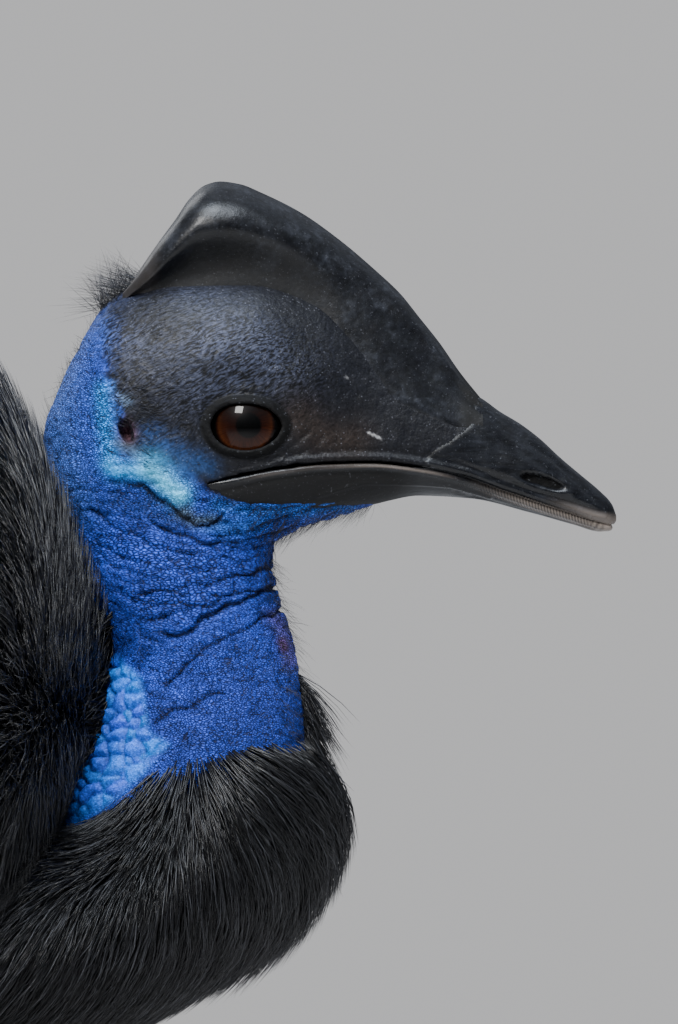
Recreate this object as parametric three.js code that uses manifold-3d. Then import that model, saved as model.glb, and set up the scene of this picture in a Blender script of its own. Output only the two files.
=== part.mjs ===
// A dwarf cassowary, life size, standing with its neck drawn back in an S and its bill level.
//
// Millimetres, +Z up. The bird faces +X, and its left side is +Y. Shapes are laid out round the eye:
// x is counted forward from the centre of the eyes, z up from the floor. The finished group is then
// moved along X and Y so that its origin is on the floor under the middle of its bounding box.
import * as THREE from "three";
import { mergeVertices } from "three/addons/utils/BufferGeometryUtils.js";
import Module from "manifold-3d";

// Driving dimensions.
const EYE_HEIGHT = 622;
const GAP = 0.3;
const EYEBALL_RADIUS = 13.5;
const EYE_OFFSET_Y = 14.5;
const LID_THICKNESS = 1.7;
const STANCE_HALF_WIDTH = 76;
const STRIDE = 20;
const LOCK_LENGTH = 138;
const LOCK_WIDTH = 80;
const LOCK_SPACING = 79;
const LOCK_RISE = 15;
const LOCK_SINK = 6;
const QUILL_LENGTH = 190;
const THIGH_ROOM = 10;
const BODY_SEED = 26;
const THIGH_SEED = 7;

const wasm = await Module();
wasm.setup();

// Curves through a few knots

// A smooth curve through [place, value] knots that never overshoots them.
function profile(knots) {
  const last = knots.length - 1;
  const slopes = knots.slice(1).map(([x, v], i) => (v - knots[i][1]) / (x - knots[i][0]));
  const tangents = knots.map((_, i) => {
    if (i === 0) return slopes[0];
    if (i === last) return slopes[last - 1];
    const [a, b] = [slopes[i - 1], slopes[i]];
    return a * b <= 0 ? 0 : (2 * a * b) / (a + b);
  });
  return (x) => {
    if (x <= knots[0][0]) return knots[0][1];
    if (x >= knots[last][0]) return knots[last][1];
    let i = 0;
    while (x > knots[i + 1][0]) i++;
    const h = knots[i + 1][0] - knots[i][0];
    const t = (x - knots[i][0]) / h;
    const [u, w] = [t * t * (3 - 2 * t), t * (1 - t)];
    const bend = h * w * ((1 - t) * tangents[i] - t * tangents[i + 1]);
    return knots[i][1] * (1 - u) + knots[i + 1][1] * u + bend;
  };
}

// count + 1 places between two ends, closer together near the ends.
function stations(from, to, count) {
  const share = (i) => (1 - Math.cos((Math.PI * i) / count)) / 2;
  return Array.from({ length: count + 1 }, (_, i) => from + (to - from) * share(i));
}

const vec = (x, y, z) => new THREE.Vector3(x, y, z);
const signedPower = (value, power) => Math.sign(value) * Math.abs(value) ** power;

// Solids

function solidFrom(geometry) {
  const bare = new THREE.BufferGeometry().setAttribute("position", geometry.getAttribute("position"));
  if (geometry.index) bare.setIndex(geometry.index);
  const merged = mergeVertices(bare, 1e-4);
  return new wasm.Manifold(
    new wasm.Mesh({
      numProp: 3,
      vertProperties: new Float32Array(merged.attributes.position.array),
      triVerts: new Uint32Array(merged.index.array),
    }),
  );
}

// A closed skin over rings of points. Every ring has the same number of points.
function loft(rings) {
  const around = rings[0].length;
  const lastRing = (rings.length - 1) * around;
  const faces = [];
  for (let start = 0; start < lastRing; start += around)
    for (let k = 0; k < around; k++) {
      const [a, b] = [start + k, start + ((k + 1) % around)];
      faces.push([a, b, b + around], [a, b + around, a + around]);
    }
  for (let k = 1; k + 1 < around; k++) faces.push([0, k + 1, k], [lastRing, lastRing + k, lastRing + k + 1]);
  const skin = (corners) =>
    solidFrom(new THREE.BufferGeometry().setFromPoints(rings.flat()).setIndex(corners.flat()));
  const solid = skin(faces);
  return solid.volume() > 0 ? solid : skin(faces.map(([a, b, c]) => [a, c, b]));
}

const join = (solids) => wasm.Manifold.union(solids);
const largest = (solid) => solid.decompose().reduce((a, b) => (a.volume() > b.volume() ? a : b));

// A squashed ball of few faces, turned about Y by tilt.
function ball(centre, radii, detail = 2, tilt = 0, Geometry = THREE.IcosahedronGeometry) {
  const geometry = new Geometry(1, detail);
  geometry.scale(radii.x, radii.y, radii.z);
  geometry.rotateY(tilt);
  geometry.translate(centre.x, centre.y, centre.z);
  return solidFrom(geometry);
}

// A side outline in [x, z] points, carried across from one y to another.
function across(outline, fromY, toY) {
  const shape = new THREE.Shape(outline.map(([x, z]) => new THREE.Vector2(x, z)));
  const geometry = new THREE.ExtrudeGeometry(shape, { depth: toY - fromY, bevelEnabled: false });
  geometry.rotateX(Math.PI / 2);
  geometry.translate(0, toY, 0);
  return solidFrom(geometry);
}

// A thin cut along a line of [x, z] points, right across the body.
function thinCut(line, thickness = GAP) {
  const side = (sign) =>
    line.map(([x, z], i) => {
      const [before, after] = [line[Math.max(i - 1, 0)], line[Math.min(i + 1, line.length - 1)]];
      const along = new THREE.Vector2(after[0] - before[0], after[1] - before[1]).normalize();
      return [x - (sign * along.y * thickness) / 2, z + (sign * along.x * thickness) / 2];
    });
  return across([...side(1), ...side(-1).reverse()], -150, 150);
}

// Head, as one form from the nape to the tip of the bill

const up = (z) => EYE_HEIGHT + z;
const headTop = profile([
  [-58.8, -5], [-57.5, 3], [-55, 10], [-51, 18], [-46.7, 26.7], [-41, 35], [-34, 40], [-20, 43],
  [0, 43], [20, 38], [40, 24], [55, 14], [67.8, 8.4], [73.6, 4.3], [79.4, 0.8], [85.2, -3.6], [91, -9],
  [96.8, -13.9], [102.6, -18.8], [106.1, -22.6], [107.4, -26],
]);
const headBottom = profile([
  [-58.8, -5], [-57.5, -15], [-55, -23], [-50, -30], [-35, -36], [-20, -37.5], [-5, -36.8], [4, -34.4],
  [15.7, -29.9], [30, -24.9], [41.7, -21.2], [50, -19.8], [65, -20.6], [82, -24.6], [95, -28.2],
  [102.6, -30.2], [105.5, -29.4], [107.4, -27],
]);
const headWidth = profile([
  [-58.8, 0.6], [-57.5, 9], [-55, 14.5], [-51, 19.5], [-46.7, 23], [-41, 25.5], [-34, 27], [-20, 28],
  [0, 27], [20, 22.5], [40, 16.5], [55, 13], [68, 10.8], [80, 8.9], [90, 7.4], [100, 5.2], [105, 3.2],
  [107.4, 0.8],
]);
const headMiddle = profile([
  [-58.8, -5], [-34, -4], [0, -2], [20, -6], [40, -9], [68, -11], [90, -18.5], [107.4, -26.5],
]);
const headCrownFullness = profile([
  [-58, 0.95], [-35, 0.78], [15, 0.75], [45, 0.95], [70, 1.15], [107, 1.1],
]);

// Hollows and swellings of the face: [centre, reach, height], laid out on the left and mirrored.
const FACE_FORMS = [
  [vec(0, 27, 1), 13, -3.2],
  [vec(-6, 22, 25), 17, 1.8],
  [vec(30, 18, 3), 12, -1.6],
  [vec(-23, 27, -1), 8, -0.9],
  [vec(-16, 24, -25), 9, 1.7],
  [vec(16, 22, 13), 8, 1.0],
];

function sculptFace(point) {
  let push = 0;
  for (const [centre, reach, height] of FACE_FORMS) {
    const far = Math.hypot(point.x - centre.x, Math.abs(point.y) - centre.y, point.z - EYE_HEIGHT - centre.z);
    push += height * Math.exp(-((far / reach) ** 2));
  }
  point.y += Math.sign(point.y) * push;
  return point;
}

function headRing(x, around, grow) {
  const [top, bottom] = [headTop(x) + grow, headBottom(x) - grow];
  const [middle, width] = [headMiddle(x), headWidth(x) + grow];
  const fullness = headCrownFullness(x);
  return Array.from({ length: around }, (_, k) => {
    const angle = (2 * Math.PI * (k + 0.5)) / around;
    const [s, c] = [Math.sin(angle), Math.cos(angle)];
    const y = width * signedPower(s, c > 0 ? fullness : 1);
    const z = middle + (c > 0 ? c * (top - middle) : c * (middle - bottom));
    return sculptFace(vec(x, y, up(z)));
  });
}

const headForm = (grow = 0) => loft(stations(-58.7, 107.3, 27).map((x) => headRing(x, 22, grow)));

// Casque: a low wedge of horn, flat behind, with an overhanging rim and a hollow flank

const casqueTop = profile([
  [-35.5, 38.5], [-33.6, 41.2], [-29.3, 47.8], [-24.9, 54.2], [-20.6, 60], [-16.2, 66.4], [-11.9, 70.1],
  [-7.5, 71.2], [-1.7, 70.4], [4.1, 68.1], [15.7, 62.3], [27.2, 54.2], [38.8, 44.3], [44.6, 38.8],
  [50.4, 31.6], [56.2, 24.3], [62, 15.9], [68.5, 7.8],
]);
// Half-widths and heights of the corner, rim, waist and base of the flank, by place along the head.
const casqueCorner = profile([
  [-35.5, 7], [-28, 12], [-20, 13], [-12, 11], [-4, 8], [6, 6], [18, 4], [30, 3], [68, 1.6],
]);
const casqueCornerDrop = profile([[-35.5, 0.4], [-20, 2], [-12, 3], [6, 2.5], [30, 2], [68, 1.2]]);
const casqueRim = profile([
  [-35.5, 11], [-28, 16], [-20, 18.5], [-12, 19], [-4, 18], [6, 16], [18, 13], [30, 10.5], [42, 8.5],
  [54, 7], [68, 5.5],
]);
const casqueRimHeight = profile([
  [-35.5, 37.6], [-28, 44], [-20, 52], [-12, 58], [-4, 58.5], [6, 56.5], [18, 51.5], [30, 43.5],
  [42, 34], [54, 20.5], [68, 5.5],
]);
const casqueWaist = profile([
  [-35.5, 11.5], [-28, 14.5], [-20, 14.5], [-12, 14], [-4, 13.5], [6, 12.5], [18, 11], [30, 11],
  [42, 11], [54, 9.5], [68, 7.5],
]);
const casqueWaistHeight = profile([
  [-35.5, 37.2], [-28, 40], [-20, 44], [-12, 46.5], [-4, 47.5], [6, 46.5], [18, 42], [30, 32], [42, 21],
  [54, 11], [68, 3.5],
]);
const casqueBase = profile([
  [-35.5, 12.5], [-28, 16.5], [-20, 17.5], [-12, 17], [-4, 16], [6, 15], [18, 13.5], [30, 14],
  [42, 13.8], [54, 11.9], [62, 10.4], [68, 8.8],
]);
const casqueBaseHeight = profile([
  [-35.5, 36.2], [-28, 36.4], [-20, 37.2], [-12, 38.6], [-4, 39.8], [6, 39.6], [18, 34.6], [26, 25],
  [33, 16.5], [42, 9.3], [54, 4.2], [61, 0.9], [65, -0.2], [68, 1.4],
]);

function casqueRing(x, grow) {
  const base = casqueBaseHeight(x);
  const flank = new THREE.CatmullRomCurve3(
    [
      vec(0, 0, casqueTop(x)),
      vec(0, casqueCorner(x), casqueTop(x) - casqueCornerDrop(x)),
      vec(0, casqueRim(x), casqueRimHeight(x)),
      vec(0, casqueWaist(x), casqueWaistHeight(x)),
      vec(0, casqueBase(x), base),
    ],
    false,
    "centripetal",
  ).getPoints(7);
  const half = [...flank, vec(0, casqueBase(x) * 0.7, base - 3), vec(0, 0, base - 3.4)];
  const heart = (casqueTop(x) + base) / 2;
  const place = (p, side) => {
    const out = vec(0, p.y, p.z - heart).normalize().multiplyScalar(grow);
    return vec(x, side * (p.y + out.y), up(p.z + out.z));
  };
  return [...half.map((p) => place(p, 1)), ...half.slice(1, -1).reverse().map((p) => place(p, -1))];
}

function casqueForm(grow = 0) {
  const rings = stations(-35.5, 68.5, 17).map((x) => casqueRing(x, grow));
  for (const p of rings[0]) p.x -= grow;
  for (const p of rings[rings.length - 1]) p.x += grow;
  return loft(rings);
}

// Bare neck: a tube from inside the head down into the feathers

const neckLine = new THREE.CatmullRomCurve3(
  [
    [-27, 0], [-24, -16], [-22, -34], [-18, -47], [-14.2, -59], [-12.2, -68], [-12.6, -79], [-14.6, -95],
    [-19.5, -114], [-27, -135],
  ].map(([x, z]) => vec(x, 0, up(z))),
  false,
  "centripetal",
);
const NECK_LENGTH = neckLine.getLength();
// Half-depths front to back, and half-widths, by millimetres along the neck.
const neckDepth = profile([
  [0, 24], [16, 26], [34, 28], [48, 27], [60, 25.8], [69, 26.8], [80, 29.3], [96, 32.2], [116, 36.5],
  [140, 36],
]);
const neckWidth = profile([
  [0, 22], [16, 24], [34, 25], [48, 24], [60, 23], [69, 23.5], [80, 25.5], [96, 28], [116, 31],
  [140, 32],
]);

// Creases of the bare throat, as lines in [x, z] from the front backwards, with the depth of each.
const CREASES = [
  [[[9, -41], [-13, -47.2], [-31, -47.8]], 1.5],
  [[[8, -45.6], [-9, -51.6], [-29, -56]], 1.4],
  [[[11, -50.2], [-1.7, -54.5], [-12, -58.8], [-23.5, -63.4]], 1.7],
  [[[12, -55.4], [-1.7, -58], [-13.3, -64.8], [-23.5, -74.8]], 1.5],
  [[[-9, -78.3], [-16.2, -80.8], [-23.5, -84.3]], 0.8],
];
const CREASE_WIDTH = 1.9;

function farFromLine(x, z, line) {
  let nearest = Infinity;
  for (let i = 0; i + 1 < line.length; i++) {
    const [[ax, az], [bx, bz]] = [line[i], line[i + 1]];
    const [dx, dz] = [bx - ax, bz - az];
    const t = Math.min(Math.max(((x - ax) * dx + (z - az) * dz) / (dx * dx + dz * dz), 0), 1);
    nearest = Math.min(nearest, Math.hypot(x - ax - t * dx, z - az - t * dz));
  }
  return nearest;
}

const creaseDepth = (p) =>
  CREASES.reduce((sum, [line, depth]) => {
    const far = farFromLine(p.x, p.z - EYE_HEIGHT, line);
    return sum + depth * Math.exp(-((far / CREASE_WIDTH) ** 2));
  }, 0);

// A point on the neck, some millimetres along it and at an angle from its front edge.
function neckPoint(along, angle, grow = 0) {
  const u = Math.min(Math.max(along / NECK_LENGTH, 0), 1);
  const [centre, tangent] = [neckLine.getPointAt(u), neckLine.getTangentAt(u)];
  const front = vec(-tangent.z, 0, tangent.x);
  const reach = vec(0, 0, 0)
    .addScaledVector(front, Math.cos(angle) * (neckDepth(along) + grow))
    .addScaledVector(vec(0, 1, 0), Math.sin(angle) * (neckWidth(along) + grow));
  const point = centre.clone().add(reach);
  return point.addScaledVector(reach.normalize(), -creaseDepth(point));
}

// Rings along the bare neck, closer together among its creases.
const NECK_RINGS = profile([[0, 0], [3, 30], [18, 76], [23, NECK_LENGTH]]);

function neckForm(grow = 0) {
  const around = 18;
  return loft(
    Array.from({ length: 24 }, (_, i) =>
      Array.from({ length: around }, (_, k) => neckPoint(NECK_RINGS(i), (2 * Math.PI * k) / around, grow)),
    ),
  );
}

// Feathered neck: sections fanned out round the crease behind the neck, each from [x, z] at the crease
// to [x, z] on the outside of the bend, with a half-width.
const FEATHERED_NECK = [
  [-42, -86, 16, -80, 24], [-46, -98, 21, -91, 28], [-50, -108, 23, -104, 33],
  [-53, -114, 22, -119, 37], [-56, -117, 14, -137, 42], [-60, -118, -4, -154, 48],
  [-66, -118, -28, -168, 55], [-76, -116, -56, -180, 63], [-92, -112, -92, -190, 70],
  [-120, -108, -130, -196, 76],
];
const BEND_END = FEATHERED_NECK.length - 1;
const [creaseX, creaseZ, bendX, bendZ, bendWidth] = [0, 1, 2, 3, 4].map((column) =>
  profile(FEATHERED_NECK.map((row, i) => [i, row[column]])),
);

function bendSection(step) {
  const crease = vec(creaseX(step), 0, up(creaseZ(step)));
  const outside = vec(bendX(step), 0, up(bendZ(step)));
  const centre = crease.clone().lerp(outside, 0.5);
  const reach = outside.sub(centre);
  const depth = reach.length();
  return { centre, front: reach.normalize(), depth, side: vec(0, 1, 0), width: bendWidth(step) };
}

// The rim of a section: an oval across its front and side directions.
function rim({ centre, front, depth, side, width }, around, grow = 0) {
  return Array.from({ length: around }, (_, k) => {
    const angle = (2 * Math.PI * k) / around;
    return centre
      .clone()
      .addScaledVector(front, Math.cos(angle) * (depth + grow))
      .addScaledVector(side, Math.sin(angle) * (width + grow));
  });
}

const bendForm = () => loft(Array.from({ length: 13 }, (_, i) => rim(bendSection((BEND_END * i) / 12), 18)));

// Torso: sections square to X, from the breast behind the neck to the rump

const BODY_FRONT = -47;
const BODY_REAR = -656;
const bodyTop = profile([
  [BODY_REAR, -128], [-640, -92], [-600, -38], [-540, 18], [-460, 68], [-380, 96], [-300, 106], [-220, 99],
  [-150, 76], [-100, 40], [-78, 15], [-66, -8], [-60, -26], [-54, -42], [-50, -52], [BODY_FRONT, -66],
]);
const bodyBottom = profile([
  [BODY_REAR, -138], [-640, -170], [-600, -208], [-540, -240], [-460, -262], [-380, -270], [-300, -270],
  [-220, -258], [-150, -236], [-100, -206], [-78, -180], [-66, -150], [-60, -124], [-54, -102], [-50, -90],
  [BODY_FRONT, -74],
]);
const bodyWidth = profile([
  [BODY_REAR, 8], [-640, 48], [-600, 90], [-540, 124], [-460, 150], [-380, 165], [-300, 168], [-220, 160],
  [-150, 138], [-100, 108], [-78, 84], [-66, 62], [-60, 45], [-54, 28], [-50, 18], [BODY_FRONT, 5],
]);

function bodyPoint(x, angle, grow = 0) {
  const [top, bottom] = [bodyTop(x) + grow, bodyBottom(x) - grow];
  const middle = (top + bottom) / 2;
  const [s, c] = [Math.sin(angle), Math.cos(angle)];
  return vec(x, (bodyWidth(x) + grow) * signedPower(s, 0.9), up(middle + (c * (top - bottom)) / 2));
}

function bodyForm(grow = 0) {
  const around = 20;
  const rings = stations(BODY_REAR, BODY_FRONT, 14).map((x) =>
    Array.from({ length: around }, (_, k) => bodyPoint(x, (2 * Math.PI * (k + 0.5)) / around, grow)),
  );
  for (const p of rings[0]) p.x -= grow;
  for (const p of rings[rings.length - 1]) p.x += grow;
  return loft(rings);
}

// Legs

// Sections of a round form along a line of [x, y, z] knots with a [depth, width] at each.
function limbSection(knots, sizes) {
  const line = new THREE.CatmullRomCurve3(knots.map(([x, y, z]) => vec(x, y, z)), false, "centripetal");
  const steps = knots.map((_, i) => i / (knots.length - 1));
  const depth = profile(steps.map((t, i) => [t, sizes[i][0]]));
  const width = profile(steps.map((t, i) => [t, sizes[i][1]]));
  return (t) => {
    const tangent = line.getTangent(t);
    const side = vec(0, 1, 0).addScaledVector(tangent, -tangent.y).normalize();
    const front = side.clone().cross(tangent);
    return { centre: line.getPoint(t), tangent, front, side, depth: depth(t), width: width(t) };
  };
}

// places are shares of the way along. relief(t, angle) is added to the radius.
function limb(section, places, around, grow = 0, relief = () => 0) {
  return loft(
    places.map((t, i) => {
      const at = section(t);
      if (i === 0) at.centre.addScaledVector(at.tangent, -grow);
      if (i === places.length - 1) at.centre.addScaledVector(at.tangent, grow);
      return Array.from({ length: around }, (_, k) => {
        const angle = (2 * Math.PI * (k + 0.5)) / around;
        const more = grow + relief(t, angle);
        return at.centre
          .clone()
          .addScaledVector(at.front, Math.cos(angle) * (at.depth + more))
          .addScaledVector(at.side, Math.sin(angle) * (at.width + more));
      });
    }),
  );
}

const evenly = (count) => Array.from({ length: count + 1 }, (_, i) => i / count);

// Scutes down the front of a leg or the top of a toe: each rises to its lower edge and steps back.
function scutes(from, to, count, height) {
  const places = [];
  for (let i = 0; i < count; i++) {
    const [start, pitch] = [from + ((to - from) * i) / count, (to - from) / count];
    places.push(start + pitch * 0.08, start + pitch * 0.92);
  }
  const relief = (t, angle) => {
    const share = ((t - from) / (to - from)) * count;
    const front = Math.max(Math.cos(angle), 0) ** 0.6;
    return t < from || t > to ? 0 : height * front * (share - Math.floor(share));
  };
  return { places, relief };
}

const FOOT_X = -385;
const ANKLE = { x: -411, z: 258 };

function thighSection(side, shift) {
  const y = side * STANCE_HALF_WIDTH;
  const knots = [
    [-318 + shift, side * 82, 450], [-342 + shift, side * 83, 396], [-378 + shift, y, 334],
    [ANKLE.x + 6 + shift, y, ANKLE.z + 20],
  ];
  return limbSection(knots, [[70, 46], [58, 47], [38, 34], [23, 20]]);
}

// The thigh's core, and the room that its locks fill once it has left the body.
const thighForm = (side, shift) => limb(thighSection(side, shift), evenly(5), 10);
const thighRoom = (side, shift, grow = 0) =>
  limb(thighSection(side, shift), evenly(5), 10, grow, (t) =>
    THIGH_ROOM * THREE.MathUtils.smoothstep(t, 0.1, 0.4),
  );

function shankForm(side, shift, grow = 0) {
  const y = side * STANCE_HALF_WIDTH;
  const knots = [
    [ANKLE.x + 9 + shift, y, ANKLE.z + 30], [ANKLE.x + shift, y, ANKLE.z + 2],
    [ANKLE.x + 4 + shift, y, ANKLE.z - 32], [ANKLE.x + 12 + shift, y, 145], [FOOT_X - 5 + shift, y, 62],
    [FOOT_X + shift, y, 26], [FOOT_X + 3 + shift, y, -4],
  ];
  const sizes = [[14, 12], [22.5, 18], [16.5, 14.5], [13.5, 12.5], [14.5, 13.5], [20, 20], [19, 20]];
  const { places, relief } = scutes(0.34, 0.82, 7, 2.6);
  return limb(limbSection(knots, sizes), [0, 0.09, 0.17, 0.25, ...places, 0.87, 0.93, 1], 10, grow, relief);
}

// Toes: [name, turn outwards in degrees, length, half-width, claw length, claw half-width].
const TOES = [
  ["middle", 3, 122, 14.5, 34, 8],
  ["inner", -36, 72, 12, 74, 7.5],
  ["outer", 38, 92, 12.5, 27, 7],
];

function alongToe(side, shift, turn, distance, height) {
  const angle = (turn * Math.PI) / 180;
  const [ahead, aside] = [Math.cos(angle) * distance, Math.sin(angle) * distance];
  return [FOOT_X + shift + ahead, side * (STANCE_HALF_WIDTH + aside), height];
}

function toeForm(side, shift, [, turn, length, half], grow = 0) {
  const at = (share, height) => alongToe(side, shift, turn, length * share, height);
  const knots = [
    at(0, 15), at(0.2, 15), at(0.38, 12.5), at(0.56, 12.5), at(0.74, 10), at(0.88, 10.5), at(1, 9),
  ];
  const sizes = [0.9, 1.05, 0.86, 1, 0.8, 0.92, 0.68].map((s) => [half * s * 0.92, half * s]);
  return limb(limbSection(knots, sizes), [0, 0.17, 0.34, 0.5, 0.67, 0.83, 1], 8, grow);
}

function clawForm(side, shift, [name, turn, length, , claw, half], grow = 0) {
  const at = (distance, height) => alongToe(side, shift, turn, length + distance, height);
  const knots = [at(-7, 9), at(claw * 0.33, 9.8), at(claw * 0.68, 7.8), at(claw, 4)];
  const taper = name === "inner" ? [1, 0.8, 0.5, 0.12] : [1, 0.88, 0.6, 0.16];
  return limb(limbSection(knots, taper.map((s) => [half * s, half * s * 0.85])), evenly(4), 6, grow);
}

const FLOOR_SLAB = across([[-900, -60], [300, -60], [300, 0], [-900, 0]], -400, 400);

// Plumage

let seed = BODY_SEED;
function draw(low, high) {
  seed = (seed + 0x6d2b79f5) | 0;
  let t = Math.imul(seed ^ (seed >>> 15), 1 | seed);
  t = (t + Math.imul(t ^ (t >>> 7), 61 | t)) ^ t;
  return low + ((high - low) * ((t ^ (t >>> 14)) >>> 0)) / 4294967296;
}

// How far a place is outside the body, roughly.
function outsideBody(p) {
  const x = THREE.MathUtils.clamp(p.x, BODY_REAR, BODY_FRONT);
  const [top, bottom] = [bodyTop(x), bodyBottom(x)];
  const z = p.z - up((top + bottom) / 2);
  const share = Math.max(Math.hypot(p.y / bodyWidth(x), (2 * z) / (top - bottom)), 0.05);
  const beyond = Math.hypot(p.y, z) * (1 - 1 / share);
  return p.x === x ? beyond : Math.hypot(Math.max(beyond, 0), p.x - x);
}

// How far a place is outside a form made of sections, roughly.
function outsideSections(sections) {
  return (p) => {
    let [best, answer] = [Infinity, Infinity];
    for (const { centre, front, depth, side, width } of sections) {
      const offset = p.clone().sub(centre);
      const [f, s] = [offset.dot(front), offset.dot(side)];
      const share = Math.max(Math.hypot(f / depth, s / width), 0.05);
      const beyond = Math.hypot(f, s) * (1 - 1 / share);
      const along = Math.abs(offset.dot(front.clone().cross(side)));
      const score = along * 3 + Math.max(beyond, 0);
      if (score < best) [best, answer] = [score, beyond];
    }
    return answer;
  };
}

const STRIDES = [[1, "left", -STRIDE], [-1, "right", STRIDE]];
const outsideNeck = outsideSections(Array.from({ length: 46 }, (_, i) => bendSection((BEND_END * i) / 45)));
const outsideThighs = STRIDES.map(([side, , shift]) =>
  outsideSections(evenly(24).map(thighSection(side, shift))),
);
const outsideTrunk = (p) => Math.min(outsideBody(p), outsideNeck(p));

// Height over a form and the way straight out of it, from how far places near by are outside it.
function standing(outside, p) {
  const step = 2;
  const slope = vec(
    ...["x", "y", "z"].map((axis) => {
      const [low, high] = [p.clone(), p.clone()];
      low[axis] -= step;
      high[axis] += step;
      return (outside(high) - outside(low)) / (2 * step);
    }),
  );
  const steepness = Math.max(slope.length(), 0.2);
  return { height: outside(p) / steepness, out: slope.normalize() };
}

// A path over a form from a root, following the lie of the coat. It is pushed out to given heights above
// the form, and where the form falls away under it, it hangs free by some share.
function lie(outside, root, length, heights, way, free = 1) {
  const [points, outs] = [[], []];
  const p = root.clone();
  let { height, out } = standing(outside, p);
  const step = length / (heights.length - 1);
  heights.forEach((wanted, i) => {
    if (i > 0) {
      const along = way(p);
      const away = along.dot(out);
      p.addScaledVector(along.addScaledVector(out, away > 0 ? (free - 1) * away : -away).normalize(), step);
      ({ height, out } = standing(outside, p));
    }
    const lift = wanted - height;
    p.addScaledVector(out, i > 0 ? Math.max(lift, -0.2 * step) : lift);
    points.push(p.clone());
    outs.push(out.clone());
  });
  return { points, outs };
}

function roundSection(sides) {
  const turns = Array.from({ length: sides }, (_, k) => (2 * Math.PI * k) / sides);
  return turns.map((turn) => [Math.cos(turn), Math.sin(turn)]);
}
const LOCK_SECTION = [[1, -0.15], [0, 1], [-1, -0.15]];

// A tapering strip along a path: a flat lock or a round quill. hug bends its edges inwards.
function strip({ points, outs }, halfWidths, halfDepths, section, hug = 0, grow = 0) {
  const last = points.length - 1;
  return loft(
    points.map((p, i) => {
      const along = points[Math.min(i + 1, last)].clone().sub(points[Math.max(i - 1, 0)]).normalize();
      const side = along.clone().cross(outs[i]).normalize();
      const out = side.clone().cross(along);
      return section.map(([x, z]) =>
        p
          .clone()
          .addScaledVector(side, x * (halfWidths[i] + grow))
          .addScaledVector(out, z * (halfDepths[i] + grow) - hug * (x * halfWidths[i]) ** 2),
      );
    }),
  );
}

function lock(outside, root, length, width, way, rise, free) {
  const heights = [-LOCK_SINK, rise * 0.35, rise * 0.7, rise * 1.1];
  const path = lie(outside, root, length, heights, way, free);
  const legs = path.points.slice(1).map((p, i) => p.clone().sub(path.points[i]).normalize());
  if (legs.slice(1).some((leg, i) => leg.dot(legs[i]) < 0.3)) return [];
  const half = width / 2;
  return strip(path, [half * 0.7, half, half * 0.72, 1.5], [3.6, 3.4, 2.8, 0.8], LOCK_SECTION, 0.004);
}

// Feathers point away from a place, and further from it hang back and down.
const wayFrom = (x, z, near) => (p) => {
  const from = p.clone().sub(vec(x, 0, up(z)));
  const share = Math.exp(-((from.length() / near) ** 2));
  const back = THREE.MathUtils.mapLinear(THREE.MathUtils.clamp(p.x, -600, -350), -600, -350, -0.25, -0.62);
  return vec(back, 0.0016 * p.y, -0.72).lerp(from.normalize(), share).normalize();
};
const bodyWay = wayFrom(-56, -110, 130);
const collarWay = wayFrom(-18, -86, 400);

// Roots scattered evenly over a form: candidates come from pick, and no two are nearer than apart(root).
function scatter(tries, pick, apart) {
  const roots = [];
  for (let i = 0; i < tries; i++) {
    const root = pick();
    if (root && roots.every((other) => other.distanceTo(root) > apart(root))) roots.push(root);
  }
  return roots;
}

// Locks grow from small beside the neck to full size over the body.
const lockScale = (p) => THREE.MathUtils.mapLinear(
  THREE.MathUtils.clamp(p.distanceTo(vec(-50, 0, up(-110))), 60, 230), 60, 230, 0.5, 1,
);

function bodyLocks() {
  const pick = () => {
    const root = bodyPoint(draw(-620, -58), draw(0, 2 * Math.PI));
    const clear = outsideNeck(root) > 4 && outsideThighs.every((outside) => outside(root) > 2);
    return clear ? root : null;
  };
  const apart = (p) => LOCK_SPACING * lockScale(p) * (p.z < 390 ? 1.6 : 1);
  return scatter(2600, pick, apart).flatMap((root) => {
    const size = lockScale(root);
    const length = LOCK_LENGTH * size * draw(0.85, 1.15) * (root.z < 390 ? 0.7 : 1);
    const width = LOCK_WIDTH * size * draw(0.9, 1.1);
    return lock(outsideTrunk, root, length, width, bodyWay, LOCK_RISE * (0.4 + 0.6 * size));
  });
}

function collarLocks() {
  const pick = () => {
    const angle = draw(-2.2, 2.2);
    const { centre, front, depth, side, width } = bendSection(draw(0.9, 8.4));
    const root = centre
      .addScaledVector(front, Math.cos(angle) * depth)
      .addScaledVector(side, Math.sin(angle) * width);
    return outsideBody(root) > 3 ? root : null;
  };
  return scatter(900, pick, () => 24).flatMap((root) =>
    lock(outsideTrunk, root, draw(50, 66), draw(26, 31), collarWay, 8, 0.12),
  );
}

function thighLocks([side, , shift], outside) {
  const section = thighSection(side, shift);
  const pick = () => {
    const angle = draw(0, 2 * Math.PI);
    const at = section(draw(0.34, 0.84));
    const root = at.centre
      .addScaledVector(at.front, Math.cos(angle) * at.depth)
      .addScaledVector(at.side, Math.sin(angle) * at.width);
    return outsideBody(root) > 6 ? root : null;
  };
  return scatter(500, pick, () => 46).flatMap((root) =>
    lock(outside, root, draw(66, 84), draw(42, 50), () => vec(-0.25, 0, -1), 7, 0.5),
  );
}

// Wing: a small flap low on the shoulder with five bare quills that curve back over the plumage

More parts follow.
